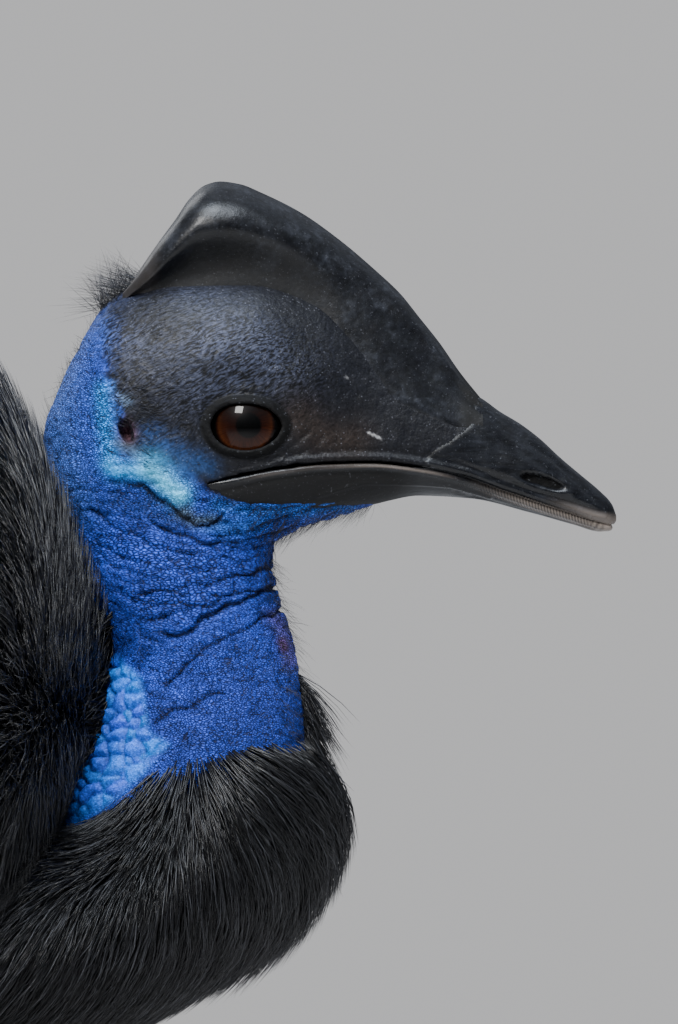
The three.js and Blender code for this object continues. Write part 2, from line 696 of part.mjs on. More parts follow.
function wingForm(side, grow = 0) {
  const start = bodyPoint(-158, 1.2);
  const root = vec(start.x, side * start.y, start.z);
  const way = () => vec(-0.8, 0, -0.42);
  const flap = lie(outsideBody, root, 84, [-4, 9, 15, 17, 15], way);
  const forms = [strip(flap, [15, 21, 21, 16, 7], [9, 10.5, 9, 6, 3], roundSection(8), 0.004, grow)];
  for (let i = 0; i < 5; i++) {
    const spread = (i - 2) / 2;
    const base = flap.points[2].clone().add(vec(8 - 6 * Math.abs(spread), 0, spread * 13));
    const quillWay = (p) => vec(-0.78, 0, -0.5 + 0.3 * spread - 0.0022 * (flap.points[2].x - p.x));
    const heights = [11, 20, 22.5, 22.5, 19.5];
    const quill = lie(outsideBody, base, QUILL_LENGTH * (1 - 0.1 * Math.abs(spread)), heights, quillWay);
    const thickness = [2.4, 2.1, 1.8, 1.4, 0.6];
    forms.push(strip(quill, thickness, thickness, roundSection(3), 0, grow));
  }
  return join(forms);
}

// Warts behind the bare neck, in staggered rows round its rear, larger towards the middle
function caruncles() {
  const warts = [];
  for (let row = 0; row < 6; row++) {
    const along = 79 + row * 7;
    const count = 4 - (row % 2);
    for (let k = 0; k < count; k++) {
      const turn = (k - (count - 1) / 2) * 0.46 + draw(-0.05, 0.05);
      const centre = neckPoint(along + draw(-0.8, 0.8), Math.PI + turn, -0.6);
      const size = draw(3.5, 4.4) * (1 - 0.2 * Math.abs(turn));
      warts.push(ball(centre, vec(size, size, size * 1.1), 1, 0, THREE.OctahedronGeometry));
    }
  }
  return warts;
}

// A lip along one edge of the mouth, from its corner forwards. level is how far above the mouth line.
function lip(side, level) {
  const [points, outs] = [[], []];
  for (let i = 0; i <= 5; i++) {
    const x = -9 + i * 10.5;
    const z = mouthLine(x) + level;
    const [middle, bottom] = [headMiddle(x), headBottom(x)];
    const drop = Math.min(Math.max((middle - z) / (middle - bottom), 0), 0.98);
    points.push(sculptFace(vec(x, side * headWidth(x) * Math.sqrt(1 - drop * drop), up(z))));
    outs.push(vec(0, side, -0.3 * drop));
  }
  const thickness = [0.6, 1.4, 1.5, 1.4, 1.1, 0.5];
  return strip({ points, outs }, thickness, thickness, roundSection(4));
}

// Assembly

const FEATHER = { color: 0x15151a, roughness: 0.6, metalness: 0 };
const FACE = { color: 0x1d1f24, roughness: 0.55, metalness: 0 };
const BLUE_SKIN = { color: 0x1f3fae, roughness: 0.6, metalness: 0 };
const HORN = { color: 0x17171a, roughness: 0.35, metalness: 0 };
const EYE = { color: 0x2a0f08, roughness: 0.08, metalness: 0 };
const SCALES = { color: 0x3c3a36, roughness: 0.65, metalness: 0 };
const CLAW = { color: 0x24211e, roughness: 0.4, metalness: 0 };

const bird = new THREE.Group();

function addNode(name, solid, look) {
  const { vertProperties, triVerts } = largest(solid).getMesh();
  const geometry = new THREE.BufferGeometry();
  geometry.setAttribute("position", new THREE.BufferAttribute(vertProperties, 3));
  geometry.setIndex(new THREE.BufferAttribute(triVerts, 1));
  const mesh = new THREE.Mesh(geometry, new THREE.MeshStandardMaterial(look));
  mesh.name = name;
  bird.add(mesh);
}

const bothSides = (make) => [1, -1].map(make);
const round = (radius, grow = 0) => vec(1, 1, 1).multiplyScalar(radius + grow);
const eyeball = (side, grow = 0) => ball(vec(0, side * EYE_OFFSET_Y, up(0)), round(EYEBALL_RADIUS, grow), 2);

const MOUTH = [
  [-12.6, -15.9], [-6, -14.5], [9.9, -11.3], [22, -9.4], [36, -8.8], [48, -10.1], [62, -13.3], [76, -18.8],
  [92, -24.2], [104.5, -27.9], [110, -28.6],
];
const mouthLine = profile(MOUTH);

// Head and neck are made as one form, with lids over the eyes, rims round the ears, lips and warts.
const face = bothSides((side) => [
  ball(vec(0, side * EYE_OFFSET_Y, up(0)), round(EYEBALL_RADIUS + LID_THICKNESS), 2),
  ball(vec(-34.2, side * 26, up(-1.6)), vec(5, 2.6, 6.6), 1),
  lip(side, 1.3),
  lip(side, -1.4),
]).flat();
const headAndNeck = join([headForm(), neckForm(), ...face, ...caruncles()]);

// The opening between the lids, seen from the side.
const lidOpening = [
  [-10.9, 0.3], [-8.6, 3.6], [-5, 5.8], [0, 6.6], [5, 5.6], [8.4, 3.2], [10.8, -0.4], [8, -3.6], [4, -5.6],
  [-1, -6.3], [-6, -5], [-9.2, -2.4],
];
const raised = (line) => line.map(([x, z]) => [x, up(z)]);
const openings = [
  across(raised(lidOpening), 14, 60),
  across(raised(lidOpening), -60, -14),
  ...bothSides((side) => eyeball(side, GAP)),
  ...bothSides((side) => ball(vec(-34.2, side * 28, up(-1.4)), vec(2.1, 5.5, 3.3), 1)),
  ...bothSides((side) => ball(vec(85.6, side * 8.9, up(-15.9)), vec(6.6, 2.6, 2), 1, 0.26)),
];

const MANDIBLE_EDGE = [
  [-12.4, -15.6], [-10.5, -18.6], [-4, -20.6], [5, -21.9], [33, -22], [39, -22.6], [44, -27],
];
const BILL_EDGE = [[71, 15], [67.9, 6], [66.5, 1], [62, -3], [56, -7], [52.5, -11.5]];
const NECK_EDGE = [[-75, -22], [-30, -31], [25, -41.5]];
// Where skin gives way to feathers, from the crease behind the neck to the front of the throat.
const COLLAR_EDGE = [
  [-54.5, -117], [-42, -111.6], [-30.7, -102.3], [-22, -94], [-13.3, -91.3], [60, -91.3],
];
// Where the feathered neck meets the breast.
const BREAST_EDGE = [[-53, -110], [-56, -126], [-60, -160], [-66, -280]];
const cuts = [
  thinCut(raised(MOUTH), 0.6),
  thinCut(raised(COLLAR_EDGE), 2 * GAP),
  thinCut(raised([[-60, -60], [-54.3, -119]]), 2 * GAP),
  ...[MANDIBLE_EDGE, BILL_EDGE, NECK_EDGE].map((line) => thinCut(raised(line))),
];
const bare = headAndNeck
  .subtract(casqueForm(GAP))
  .subtract(join(openings))
  .subtract(join(cuts))
  .decompose();

// The one of some pieces that holds a place on the middle plane.
function pieceAt(pieces, x, z) {
  const probe = ball(vec(x, 0, up(z)), round(1), 0);
  return pieces.find((piece) => piece.intersect(probe).volume() > 0.1);
}

// Plumage of the lower neck and body is also one form, laid round the bare neck and then parted. A tuft
// stands in front of the throat.
const throat = across(raised([...COLLAR_EDGE, [60, 100], [-70, 100], [-60, -60]]), -150, 150);
const tuft = ball(vec(19, 0, up(-90)), vec(9, 15, 14), 1);
const plumage = join([bodyForm(), bendForm().subtract(throat), tuft, ...bodyLocks(), ...collarLocks()])
  .subtract(neckForm(GAP).intersect(throat))
  .subtract(headForm(GAP))
  .subtract(thinCut(raised(BREAST_EDGE)))
  .subtract(thinCut(raised(COLLAR_EDGE.slice(0, 4))));
const legRooms = STRIDES.map(([side, , shift]) => thighRoom(side, shift, GAP));
const wingRooms = bothSides((side) => wingForm(side, GAP));
const feathered = plumage.subtract(join([...legRooms, ...wingRooms])).decompose();

addNode("head", pieceAt(bare, -15, 10), FACE);
addNode("casque", casqueForm(), HORN);
addNode("bill_upper", pieceAt(bare, 80, -10), HORN);
addNode("bill_lower", pieceAt(bare, 60, -17), HORN);
addNode("eye_left", eyeball(1), EYE);
addNode("eye_right", eyeball(-1), EYE);
addNode("neck", pieceAt(bare, -14, -70), BLUE_SKIN);
addNode("collar", pieceAt(feathered, -18, -125), FEATHER);
addNode("torso", pieceAt(feathered, -300, -80).subtract(neckForm(5).intersect(throat)), FEATHER);

STRIDES.forEach(([side, name, shift], i) => {
  addNode("wing_" + name, wingForm(side), FEATHER);
  seed = THIGH_SEED + i;
  const locks = thighLocks(STRIDES[i], outsideThighs[i]);
  const thigh = join([thighForm(side, shift), ...locks]).intersect(thighRoom(side, shift));
  addNode("thigh_" + name, thigh.subtract(shankForm(side, shift, GAP)), FEATHER);
  addNode("shank_" + name, shankForm(side, shift).subtract(FLOOR_SLAB), SCALES);
  for (const toe of TOES) {
    const rooms = [shankForm(side, shift, GAP), clawForm(side, shift, toe, GAP), FLOOR_SLAB];
    if (toe !== TOES[0]) rooms.push(toeForm(side, shift, TOES[0], GAP));
    addNode("toe_" + toe[0] + "_" + name, toeForm(side, shift, toe).subtract(join(rooms)), SCALES);
    addNode("claw_" + toe[0] + "_" + name, clawForm(side, shift, toe).subtract(FLOOR_SLAB), CLAW);
  }
});

// The origin goes to the floor under the middle of the bounding box.
const middle = new THREE.Box3().setFromObject(bird).getCenter(vec(0, 0, 0));
bird.position.set(-middle.x, -middle.y, 0);
export default bird;
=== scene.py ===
"""A dwarf cassowary, life size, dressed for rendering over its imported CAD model.

Shapes are laid out in millimetres round the point between the eyes: x forwards, y to the bird's left and
z up. place() turns them into the frame's metres.
"""

import bpy
import numpy as np
import openvdb
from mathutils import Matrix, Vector


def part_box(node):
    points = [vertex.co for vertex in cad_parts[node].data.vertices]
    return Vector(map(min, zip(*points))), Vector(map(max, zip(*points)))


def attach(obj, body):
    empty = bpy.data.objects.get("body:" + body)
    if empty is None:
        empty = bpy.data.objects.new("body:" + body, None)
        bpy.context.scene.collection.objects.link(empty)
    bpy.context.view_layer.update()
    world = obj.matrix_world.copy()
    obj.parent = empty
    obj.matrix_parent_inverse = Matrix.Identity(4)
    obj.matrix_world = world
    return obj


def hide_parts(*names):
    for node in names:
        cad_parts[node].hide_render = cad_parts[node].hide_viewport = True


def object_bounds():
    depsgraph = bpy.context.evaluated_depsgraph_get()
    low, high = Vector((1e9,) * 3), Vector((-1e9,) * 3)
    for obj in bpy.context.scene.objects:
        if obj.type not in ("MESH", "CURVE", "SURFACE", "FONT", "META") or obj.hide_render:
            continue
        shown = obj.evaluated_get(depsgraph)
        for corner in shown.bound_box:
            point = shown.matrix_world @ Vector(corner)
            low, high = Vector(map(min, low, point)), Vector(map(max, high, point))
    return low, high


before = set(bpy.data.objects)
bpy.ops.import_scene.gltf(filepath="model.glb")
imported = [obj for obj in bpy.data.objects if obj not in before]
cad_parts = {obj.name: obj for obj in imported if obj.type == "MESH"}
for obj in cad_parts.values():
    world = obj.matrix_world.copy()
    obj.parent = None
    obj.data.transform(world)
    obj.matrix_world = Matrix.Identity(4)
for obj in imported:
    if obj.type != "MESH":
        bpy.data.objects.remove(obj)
cad_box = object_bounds()

# Sizes in millimetres.
EYE_HEIGHT = 622.0
EYE_OFFSET_Y = 14.5
EYEBALL_RADIUS = 13.5
LID_THICKNESS = 1.15
STANCE_HALF_WIDTH = 76.0
STRIDE = 20.0
FOOT_X = -385.0
ANKLE_X, ANKLE_Z = -411.0, 258.0

# The photograph's frame, in its own pixels, and where the eye is in it.
PHOTO_WIDTH, PHOTO_HEIGHT = 678, 1024
PIXELS_PER_MM = 3.45
EYE_PIXEL = (246.0, 427.0)
CAMERA_DISTANCE = 2500.0
SENSOR = 36.0

low, high = (np.array(corner) * 1000 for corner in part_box("eye_right"))
EYE_PLACE = np.array([(low[0] + high[0]) / 2, (low[1] + high[1]) / 2 + EYE_OFFSET_Y, EYE_HEIGHT])


def place(points):
    """Layout millimetres as the frame's metres."""
    return (np.asarray(points, float) + EYE_PLACE) / 1000


def at_pixel(*pixels):
    """Side-view places [x, z] of pixels of the photograph."""
    pixels = np.array(pixels, float)
    return np.stack(
        [(pixels[:, 0] - EYE_PIXEL[0]) / PIXELS_PER_MM, (EYE_PIXEL[1] - pixels[:, 1]) / PIXELS_PER_MM], 1
    )


# Curves


def profile(knots):
    """A smooth curve through [place, value] knots that never overshoots them."""
    places, values = np.array(knots, float).T
    gaps = np.diff(places)
    slopes = np.diff(values) / gaps
    before, after = slopes[:-1], slopes[1:]
    turning = before * after <= 0
    mean = 2 * before * after / np.where(turning, 1, before + after)
    tangents = np.concatenate([slopes[:1], np.where(turning, 0, mean), slopes[-1:]])

    def value(x):
        x = np.clip(x, places[0], places[-1])
        i = np.clip(np.searchsorted(places, x, side="right") - 1, 0, len(gaps) - 1)
        t = (x - places[i]) / gaps[i]
        share = t * t * (3 - 2 * t)
        bend = gaps[i] * t * (1 - t) * ((1 - t) * tangents[i] - t * tangents[i + 1])
        return values[i] * (1 - share) + values[i + 1] * share + bend

    return value


def profiles(rows):
    """A curve for each column of values beside the same places."""
    places, *columns = zip(*rows)
    return [profile(list(zip(places, column))) for column in columns]


def curve(knots):
    """A centripetal Catmull-Rom curve. It takes shares of the way, counted from knot to knot."""
    knots = np.array(knots, float)
    ends = np.vstack([2 * knots[0] - knots[1], knots, 2 * knots[-1] - knots[-2]])

    def point(t):
        way = np.clip(np.atleast_1d(t), 0, 1) * (len(knots) - 1)
        i = np.minimum(way.astype(int), len(knots) - 2)
        w = (way - i)[:, None]
        a, b, c, d = (ends[i + k] for k in range(4))
        before, span, after = (
            np.sqrt(np.linalg.norm(q - p, axis=1, keepdims=True)) for p, q in ((a, b), (b, c), (c, d))
        )
        leave = ((b - a) / before - (c - a) / (before + span)) * span + (c - b)
        arrive = ((d - c) / after - (d - b) / (span + after)) * span + (c - b)
        cubic = (2 * b - 2 * c + leave + arrive) * w**3
        square = (-3 * b + 3 * c - 2 * leave - arrive) * w**2
        return cubic + square + leave * w + b

    return point


def smoothstep(x, start, end):
    """0 before start, 1 after end, and a smooth rise between them."""
    t = np.clip((x - start) / (end - start), 0, 1)
    return t * t * (3 - 2 * t)


def hill(value, centre, width):
    """A bell-shaped rise to 1 at the centre."""
    return np.exp(-(((value - centre) / width) ** 2))


def far_from_line(x, z, line):
    """Distance in side view from places to a line of [x, z] points."""
    nearest = np.full(np.broadcast(x, z).shape, np.inf)
    for (ax, az), (bx, bz) in zip(line[:-1], line[1:]):
        dx, dz = bx - ax, bz - az
        t = np.clip(((x - ax) * dx + (z - az) * dz) / (dx * dx + dz * dz), 0, 1)
        nearest = np.minimum(nearest, np.hypot(x - ax - t * dx, z - az - t * dz))
    return nearest


def outside_outline(x, z, outline):
    """Signed distance in side view to a closed outline, negative inside it."""
    outline = np.asarray(outline, float)
    closed = np.vstack([outline, outline[:1]])
    inside = np.zeros(np.broadcast(x, z).shape, bool)
    for (ax, az), (bx, bz) in zip(closed[:-1], closed[1:]):
        if az != bz:
            inside ^= ((az > z) != (bz > z)) & (x < (bx - ax) * (z - az) / (bz - az) + ax)
    return far_from_line(x, z, closed) * np.where(inside, -1, 1)


# Seeded patterns


def lattice(cell, seed):
    """A repeatable random number from 0 to 1 for each whole-number place."""
    cell = cell.astype(np.int64).astype(np.uint64)
    mixed = cell[..., 0] * np.uint64(73856093) ^ cell[..., 1] * np.uint64(19349663)
    mixed ^= cell[..., 2] * np.uint64(83492791) ^ np.uint64(seed * 2654435761 % 2**32)
    mixed &= np.uint64(0xFFFFFFFF)
    mixed = (mixed ^ (mixed >> np.uint64(15))) * np.uint64(2246822519) & np.uint64(0xFFFFFFFF)
    mixed = (mixed ^ (mixed >> np.uint64(13))) * np.uint64(3266489917) & np.uint64(0xFFFFFFFF)
    mixed ^= mixed >> np.uint64(16)
    return (mixed & np.uint64(0xFFFFFF)).astype(float) / 0x1000000


def noise(points, size, seed):
    """Soft noise from -1 to 1 with features about size apart."""
    scaled = points / size
    base = np.floor(scaled)
    part = scaled - base
    part = part * part * (3 - 2 * part)
    total = 0
    for corner in np.ndindex(2, 2, 2):
        weight = np.prod(np.where(corner, part, 1 - part), axis=-1)
        total = total + weight * lattice(base + corner, seed)
    return total * 2 - 1


def cells(points, size, seed):
    """Cells about size across: how far inside its cell a place is, from 0 at the border, and a number
    from 0 to 1 for the cell."""
    scaled = points / size
    base = np.floor(scaled)
    nearest = np.full(len(points), 9.0)
    second = nearest.copy()
    owner = np.zeros(len(points))
    for step in np.ndindex(3, 3, 3):
        cell = base + np.array(step) - 1
        heart = cell + 0.5 + 0.8 * (np.stack([lattice(cell, seed + k) for k in range(3)], -1) - 0.5)
        far = np.linalg.norm(heart - scaled, axis=1)
        closer = far < nearest
        second = np.where(closer, nearest, np.minimum(second, far))
        owner = np.where(closer, lattice(cell, seed + 7), owner)
        nearest = np.where(closer, far, nearest)
    return second - nearest, owner


# Meshes


def loft(rings):
    """The points, four-sided faces and end faces of a closed skin over rings of points."""
    rings = np.asarray(rings, float)
    count, around = rings.shape[:2]
    k = np.arange(around)
    start = (np.arange(count - 1) * around)[:, None]
    near, far = start + k, start + (k + 1) % around
    quads = np.stack([near, far, far + around, near + around], -1).reshape(-1, 4)
    fan = np.stack([np.zeros(around - 2, int), k[2:], k[1:-1]], -1)
    last = (count - 1) * around
    return rings.reshape(-1, 3), quads, np.vstack([fan, last + fan[:, [0, 2, 1]]])


def outward(form):
    """The same form, with its faces turned to look out."""
    points, quads, ends = form
    faces = np.vstack([quads[:, [0, 1, 2]], quads[:, [0, 2, 3]], ends])
    a, b, c = (points[faces[:, k]] for k in range(3))
    if np.einsum("ij,ij->i", a, np.cross(b, c)).sum() < 0:
        return points, quads[:, ::-1], ends[:, ::-1]
    return form


def joined(forms):
    """Several forms as one."""
    points, quads, ends, count = [], [], [], 0
    for p, q, e in forms:
        points.append(p)
        quads.append(q + count)
        ends.append(e + count)
        count += len(p)
    return np.vstack(points), np.vstack(quads), np.vstack(ends)


def normals(points, quads):
    """The way out at each point of a form of four-sided faces."""
    a, b, c, d = (points[quads[:, k]] for k in range(4))
    face = np.cross(c - a, d - b)
    total = np.stack(
        [
            np.bincount(quads.ravel(), np.repeat(face[:, axis], 4), minlength=len(points))
            for axis in range(3)
        ],
        1,
    )
    return total / np.maximum(np.linalg.norm(total, axis=1, keepdims=True), 1e-12)


def make_piece(name, form, replaces=(), colours=None, numbers=None):
    """A smooth mesh object that rides on the body. Colours and numbers are given for each point."""
    points, quads, ends = form
    mesh = bpy.data.meshes.new(name)
    corners = np.concatenate([quads.ravel(), ends.ravel()])
    starts = np.concatenate([np.arange(len(quads)) * 4, len(quads) * 4 + np.arange(len(ends)) * 3])
    mesh.vertices.add(len(points))
    mesh.vertices.foreach_set("co", place(points).ravel().astype(np.float32))
    mesh.loops.add(len(corners))
    mesh.loops.foreach_set("vertex_index", corners.astype(np.int32))
    mesh.polygons.add(len(starts))
    mesh.polygons.foreach_set("loop_start", starts.astype(np.int32))
    mesh.polygons.foreach_set("use_smooth", np.ones(len(starts), bool))
    for label, values in (colours or {}).items():
        layer = mesh.color_attributes.new(label, "FLOAT_COLOR", "POINT")
        solid = np.hstack([values, np.ones((len(points), 1))])
        layer.data.foreach_set("color", solid.ravel().astype(np.float32))
    for label, values in (numbers or {}).items():
        layer = mesh.attributes.new(label, "FLOAT", "POINT")
        layer.data.foreach_set("value", np.asarray(values, np.float32))
    mesh.update(calc_edges=True)
    piece = bpy.data.objects.new(name, mesh)
    bpy.context.scene.collection.objects.link(piece)
    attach(piece, "root")
    if replaces:
        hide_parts(*replaces)
    return piece


class Field:
    """Signed distances, negative inside, on a grid of cubes."""

    def __init__(self, low, voxel, values):
        self.low = np.asarray(low, float)
        self.voxel = voxel
        self.values = values

    def surface(self, level=0.0):
        """The points and faces where the field has a value."""
        grid = openvdb.FloatGrid(background=float(self.values.max()))
        grid.copyFromArray(np.ascontiguousarray(self.values, np.float32))
        points, quads = grid.convertToQuads(isovalue=level)
        return self.low + points.astype(float) * self.voxel, quads.astype(np.int64)

    def soften(self, times):
        """The field with its edges rounded a little."""
        for _ in range(times):
            for axis in range(3):
                padded = np.pad(self.values, [(1, 1) if k == axis else (0, 0) for k in range(3)], "edge")
                size = self.values.shape[axis]
                ahead, here, behind = (padded.take(range(k, k + size), axis) for k in (2, 1, 0))
                self.values = (ahead + 2 * here + behind) / 4
        return self

    def at(self, points):
        """The field at places between its own."""
        spot = (points - self.low) / self.voxel
        spot = np.clip(spot, 0, np.array(self.values.shape) - 1.001)
        base = spot.astype(int)
        part = spot - base
        total = 0
        for corner in np.ndindex(2, 2, 2):
            weight = np.prod(np.where(corner, part, 1 - part), axis=-1)
            total = total + weight * self.values[tuple((base + corner).T)]
        return total

    def out(self, points):
        """Height over the surface, and the way straight out of it."""
        step = self.voxel
        slope = np.stack(
            [self.at(points + step * axis) - self.at(points - step * axis) for axis in np.eye(3)], 1
        )
        size = np.maximum(np.linalg.norm(slope, axis=1, keepdims=True), 1e-6)
        steepness = np.maximum(size[:, 0] / (2 * step), 0.3)
        return self.at(points) / steepness, slope / size


def level_set(forms, voxel, band):
    """Closed forms, joined, as a level set reaching band voxels to each side."""
    points, quads, ends = joined(forms)
    return openvdb.FloatGrid.createLevelSetFromPolygons(
        points.astype(np.float32),
        triangles=ends.astype(np.uint32),
        quads=quads.astype(np.uint32),
        transform=openvdb.createLinearTransform(voxelSize=voxel),
        halfWidth=float(band),
    )


def field_round(forms, voxel, band):
    """A field of signed distances round closed forms."""
    grid = level_set(forms, voxel, band)
    first, last = grid.evalActiveVoxelBoundingBox()
    values = np.zeros([b - a + 1 for a, b in zip(first, last)], np.float32)
    grid.copyToArray(values, ijk=first)
    return Field(np.array(first) * voxel, voxel, values.astype(float))


# Head: heights and half-widths by place along it, as in the solid

head_top = profile([
    [-58.8, -5], [-57.5, 3], [-55, 10], [-51, 18], [-46.7, 26.7], [-41, 35], [-34, 40], [-20, 43], [0, 43],
    [20, 38], [40, 24], [55, 14], [67.8, 8.4], [73.6, 4.3], [79.4, 0.8], [85.2, -3.6], [91, -9],
    [96.8, -13.9], [102.6, -18.8], [106.1, -22.6], [107.4, -26],
])
head_bottom = profile([
    [-58.8, -5], [-57.5, -15], [-55, -23], [-50, -30], [-35, -36], [-20, -37.5], [-5, -36.8], [4, -34.4],
    [15.7, -29.9], [30, -24.9], [41.7, -21.2], [50, -19.8], [65, -20.6], [82, -24.6], [95, -28.2],
    [102.6, -30.2], [105.5, -29.4], [107.4, -27],
])
head_width = profile([
    [-58.8, 0.6], [-57.5, 9], [-55, 14.5], [-51, 19.5], [-46.7, 23], [-41, 25.5], [-34, 27], [-20, 28],
    [0, 27], [20, 22.5], [40, 16.5], [55, 13], [68, 10.8], [80, 8.9], [90, 7.4], [100, 5.2], [105, 3.2],
    [107.4, 0.8],
])
head_middle = profile([
    [-58.8, -5], [-34, -4], [0, -2], [20, -6], [40, -9], [68, -11], [90, -18.5], [107.4, -26.5],
])
crown_fullness = profile([[-58, 0.95], [-35, 0.78], [15, 0.75], [45, 0.95], [70, 1.15], [107, 1.1]])
HEAD_REAR, HEAD_FRONT = -58.7, 107.3

# Hollows and swellings of the face: [x, y, z, reach, height].
FACE_FORMS = [
    [0, 27, 1, 13, -3.2], [-6, 22, 25, 17, 1.8], [30, 18, 3, 12, -1.6], [-23, 27, -1, 8, -0.9],
    [-16, 24, -25, 9, 1.7], [16, 22, 13, 8, 1.0],
]
mouth_line = profile([
    [-12.6, -16.4], [-6, -15.2], [9.9, -12.0], [22, -10.6], [36, -10.2], [48, -11.3], [62, -14.0],
    [76, -18.9], [92, -24.2], [104.5, -27.9], [110, -28.6],
])
GAPE_X = -11.5
mandible_edge = profile([
    [-12.4, -15.6], [-10.5, -18.6], [-4, -20.6], [5, -21.9], [33, -22], [39, -22.6], [44, -27], [48, -40],
])
# Where skin gives way to horn at the base of the upper bill, as x by height.
bill_edge = profile([[-20, 51], [-11.5, 52.5], [-7, 56], [-3, 62], [1, 66.5], [6, 67.9], [15, 71]])
LID_OPENING = [
    [-10.0, 0.3], [-8.5, 3.7], [-5, 5.8], [0, 6.4], [4.8, 5.7], [8.4, 3.7], [10.5, 0], [8.3, -3.9],
    [4.2, -6.3], [-0.6, -6.9], [-5.4, -5.9], [-8.7, -3.3],
]
LID_POINTS = 72
lid_outline = curve(LID_OPENING + LID_OPENING[:1])(np.linspace(0, 1, LID_POINTS + 1)[:-1])


def face_push(x, y, z):
    """How far the face's hollows and swellings move its sides out."""
    return sum(
        height * np.exp(-((x - fx) ** 2 + (np.abs(y) - fy) ** 2 + (z - fz) ** 2) / reach**2)
        for fx, fy, fz, reach, height in FACE_FORMS
    )


def head_field(x, y, z):
    """About how far places are outside the head."""
    on = np.clip(x, HEAD_REAR, HEAD_FRONT)
    top, bottom, middle, width = head_top(on), head_bottom(on), head_middle(on), head_width(on)
    rise = z - middle
    share = np.where(rise > 0, rise / (top - middle), -rise / (middle - bottom))
    power = np.where(rise > 0, 2 / crown_fullness(on), 2.0)
    aside = np.maximum(np.abs(y) - face_push(x, y, z), 0)
    reach = np.sqrt((aside / width) ** power + share**2)
    beyond = np.hypot(aside, rise) * (1 - 1 / np.maximum(reach, 0.05))
    past = np.abs(x - on)
    return np.where(past > 0, np.hypot(np.maximum(beyond, 0), past), beyond)


def head_ring(x, angles, grow=0.0):
    """Points of the head's section, by angle from the crown."""
    top, bottom = head_top(x) + grow, head_bottom(x) - grow
    middle, width = head_middle(x), head_width(x) + grow
    s, c = np.sin(angles), np.cos(angles)
    fullness = np.where(c > 0, crown_fullness(x), 1)
    y = width * np.sign(s) * np.abs(s) ** fullness
    z = middle + np.where(c > 0, c * (top - middle), c * (middle - bottom))
    y = y + np.sign(y) * face_push(x, y, z)
    return np.stack([np.full_like(y, x), y, z], 1)


# Neck: a bent tube, with half-depths and half-widths by millimetres along it

neck_line = curve([
    [-27, 0], [-24, -16], [-22, -34], [-18, -47], [-14.2, -59], [-12.2, -68], [-12.6, -79], [-14.6, -95],
    [-19.5, -114], [-27, -135],
])
neck_depth = profile([
    [0, 24], [16, 26], [34, 28], [48, 27], [60, 25.8], [69, 26.8], [80, 29.3], [96, 32.2], [116, 36.5],
    [140, 36],
])
neck_width = profile([
    [0, 22], [16, 24], [34, 25], [48, 24], [60, 23], [69, 23.5], [80, 25.5], [96, 28], [116, 31], [140, 32],
])
# The feathered collar's edge in side view, as height by place.
COLLAR_EDGE = [[-54.5, -117], [-42, -111.6], [-30.7, -102.3], [-22, -94], [-13.3, -91.3], [60, -91.3]]
collar_edge = profile([[-90, -150], *COLLAR_EDGE])
NECK_STEPS, NECK_STRIDE = 600, 3
neck_points = neck_line(np.linspace(0, 1, NECK_STEPS))
neck_places = np.concatenate([[0], np.cumsum(np.linalg.norm(np.diff(neck_points, axis=0), axis=1))])
neck_ways = np.gradient(neck_points, neck_places, axis=0)
neck_ways /= np.linalg.norm(neck_ways, axis=1, keepdims=True)


def along_neck(x, z):
    """Millimetres along the neck, in front of its middle line, and past its ends."""
    best = np.full(np.broadcast(x, z).shape, np.inf)
    nearest = np.zeros(best.shape, int)
    for i, (px, pz) in enumerate(neck_points[::NECK_STRIDE]):
        far = (x - px) ** 2 + (z - pz) ** 2
        closer = far < best
        best = np.where(closer, far, best)
        nearest = np.where(closer, NECK_STRIDE * i, nearest)
    dx, dz = x - neck_points[nearest, 0], z - neck_points[nearest, 1]
    wx, wz = neck_ways[nearest, 0], neck_ways[nearest, 1]
    slip = dx * wx + dz * wz
    past = np.where(nearest == 0, -slip, np.where(nearest >= NECK_STEPS - NECK_STRIDE, slip, 0))
    return neck_places[nearest] + slip, dz * wx - dx * wz, np.maximum(past, 0)


def neck_field(x, y, z):
    """About how far places are outside the neck."""
    along, front, past = along_neck(x, z)
    depth, width = neck_depth(along), neck_width(along)
    reach = np.maximum(np.hypot(front / depth, y / width), 0.05)
    beyond = np.hypot(front, y) * (1 - 1 / reach)
    return np.where(past > 0, np.hypot(np.maximum(beyond, 0), past), beyond)


def soft_min(a, b, reach):
    """The smaller of two fields, with a soft joint where they meet."""
    overlap = np.maximum(reach - np.abs(a - b), 0) / reach
    return np.minimum(a, b) - overlap**2 * reach / 4


# Skin of the head and bare neck, from its field

FINE_VOXEL = 0.66
SKIN_LOW = np.array([-76.0, 0.0, -146.0])
SKIN_HIGH = np.array([112.0, 36.0, 50.0])
HORN_DEPTH = 1.3
LID_BLEND, NECK_BLEND = 3.5, 7
EAR = (-34.2, 27.0, -1.4)
EAR_REACH = (2.1, 7, 3.5)
EAR_LEAN = 0.25
EAR_DEPTH = 2.4


def horn_cover(x, z):
    """1 where horn covers the skin, 0 where the skin shows, in side view."""
    upper = smoothstep(x - bill_edge(z), 0.1, 2.6)
    lower = smoothstep(z - mandible_edge(x), 0.2, 1.4) * smoothstep(x, GAPE_X, GAPE_X + 1.5)
    return np.where(z > mouth_line(x), upper, lower)


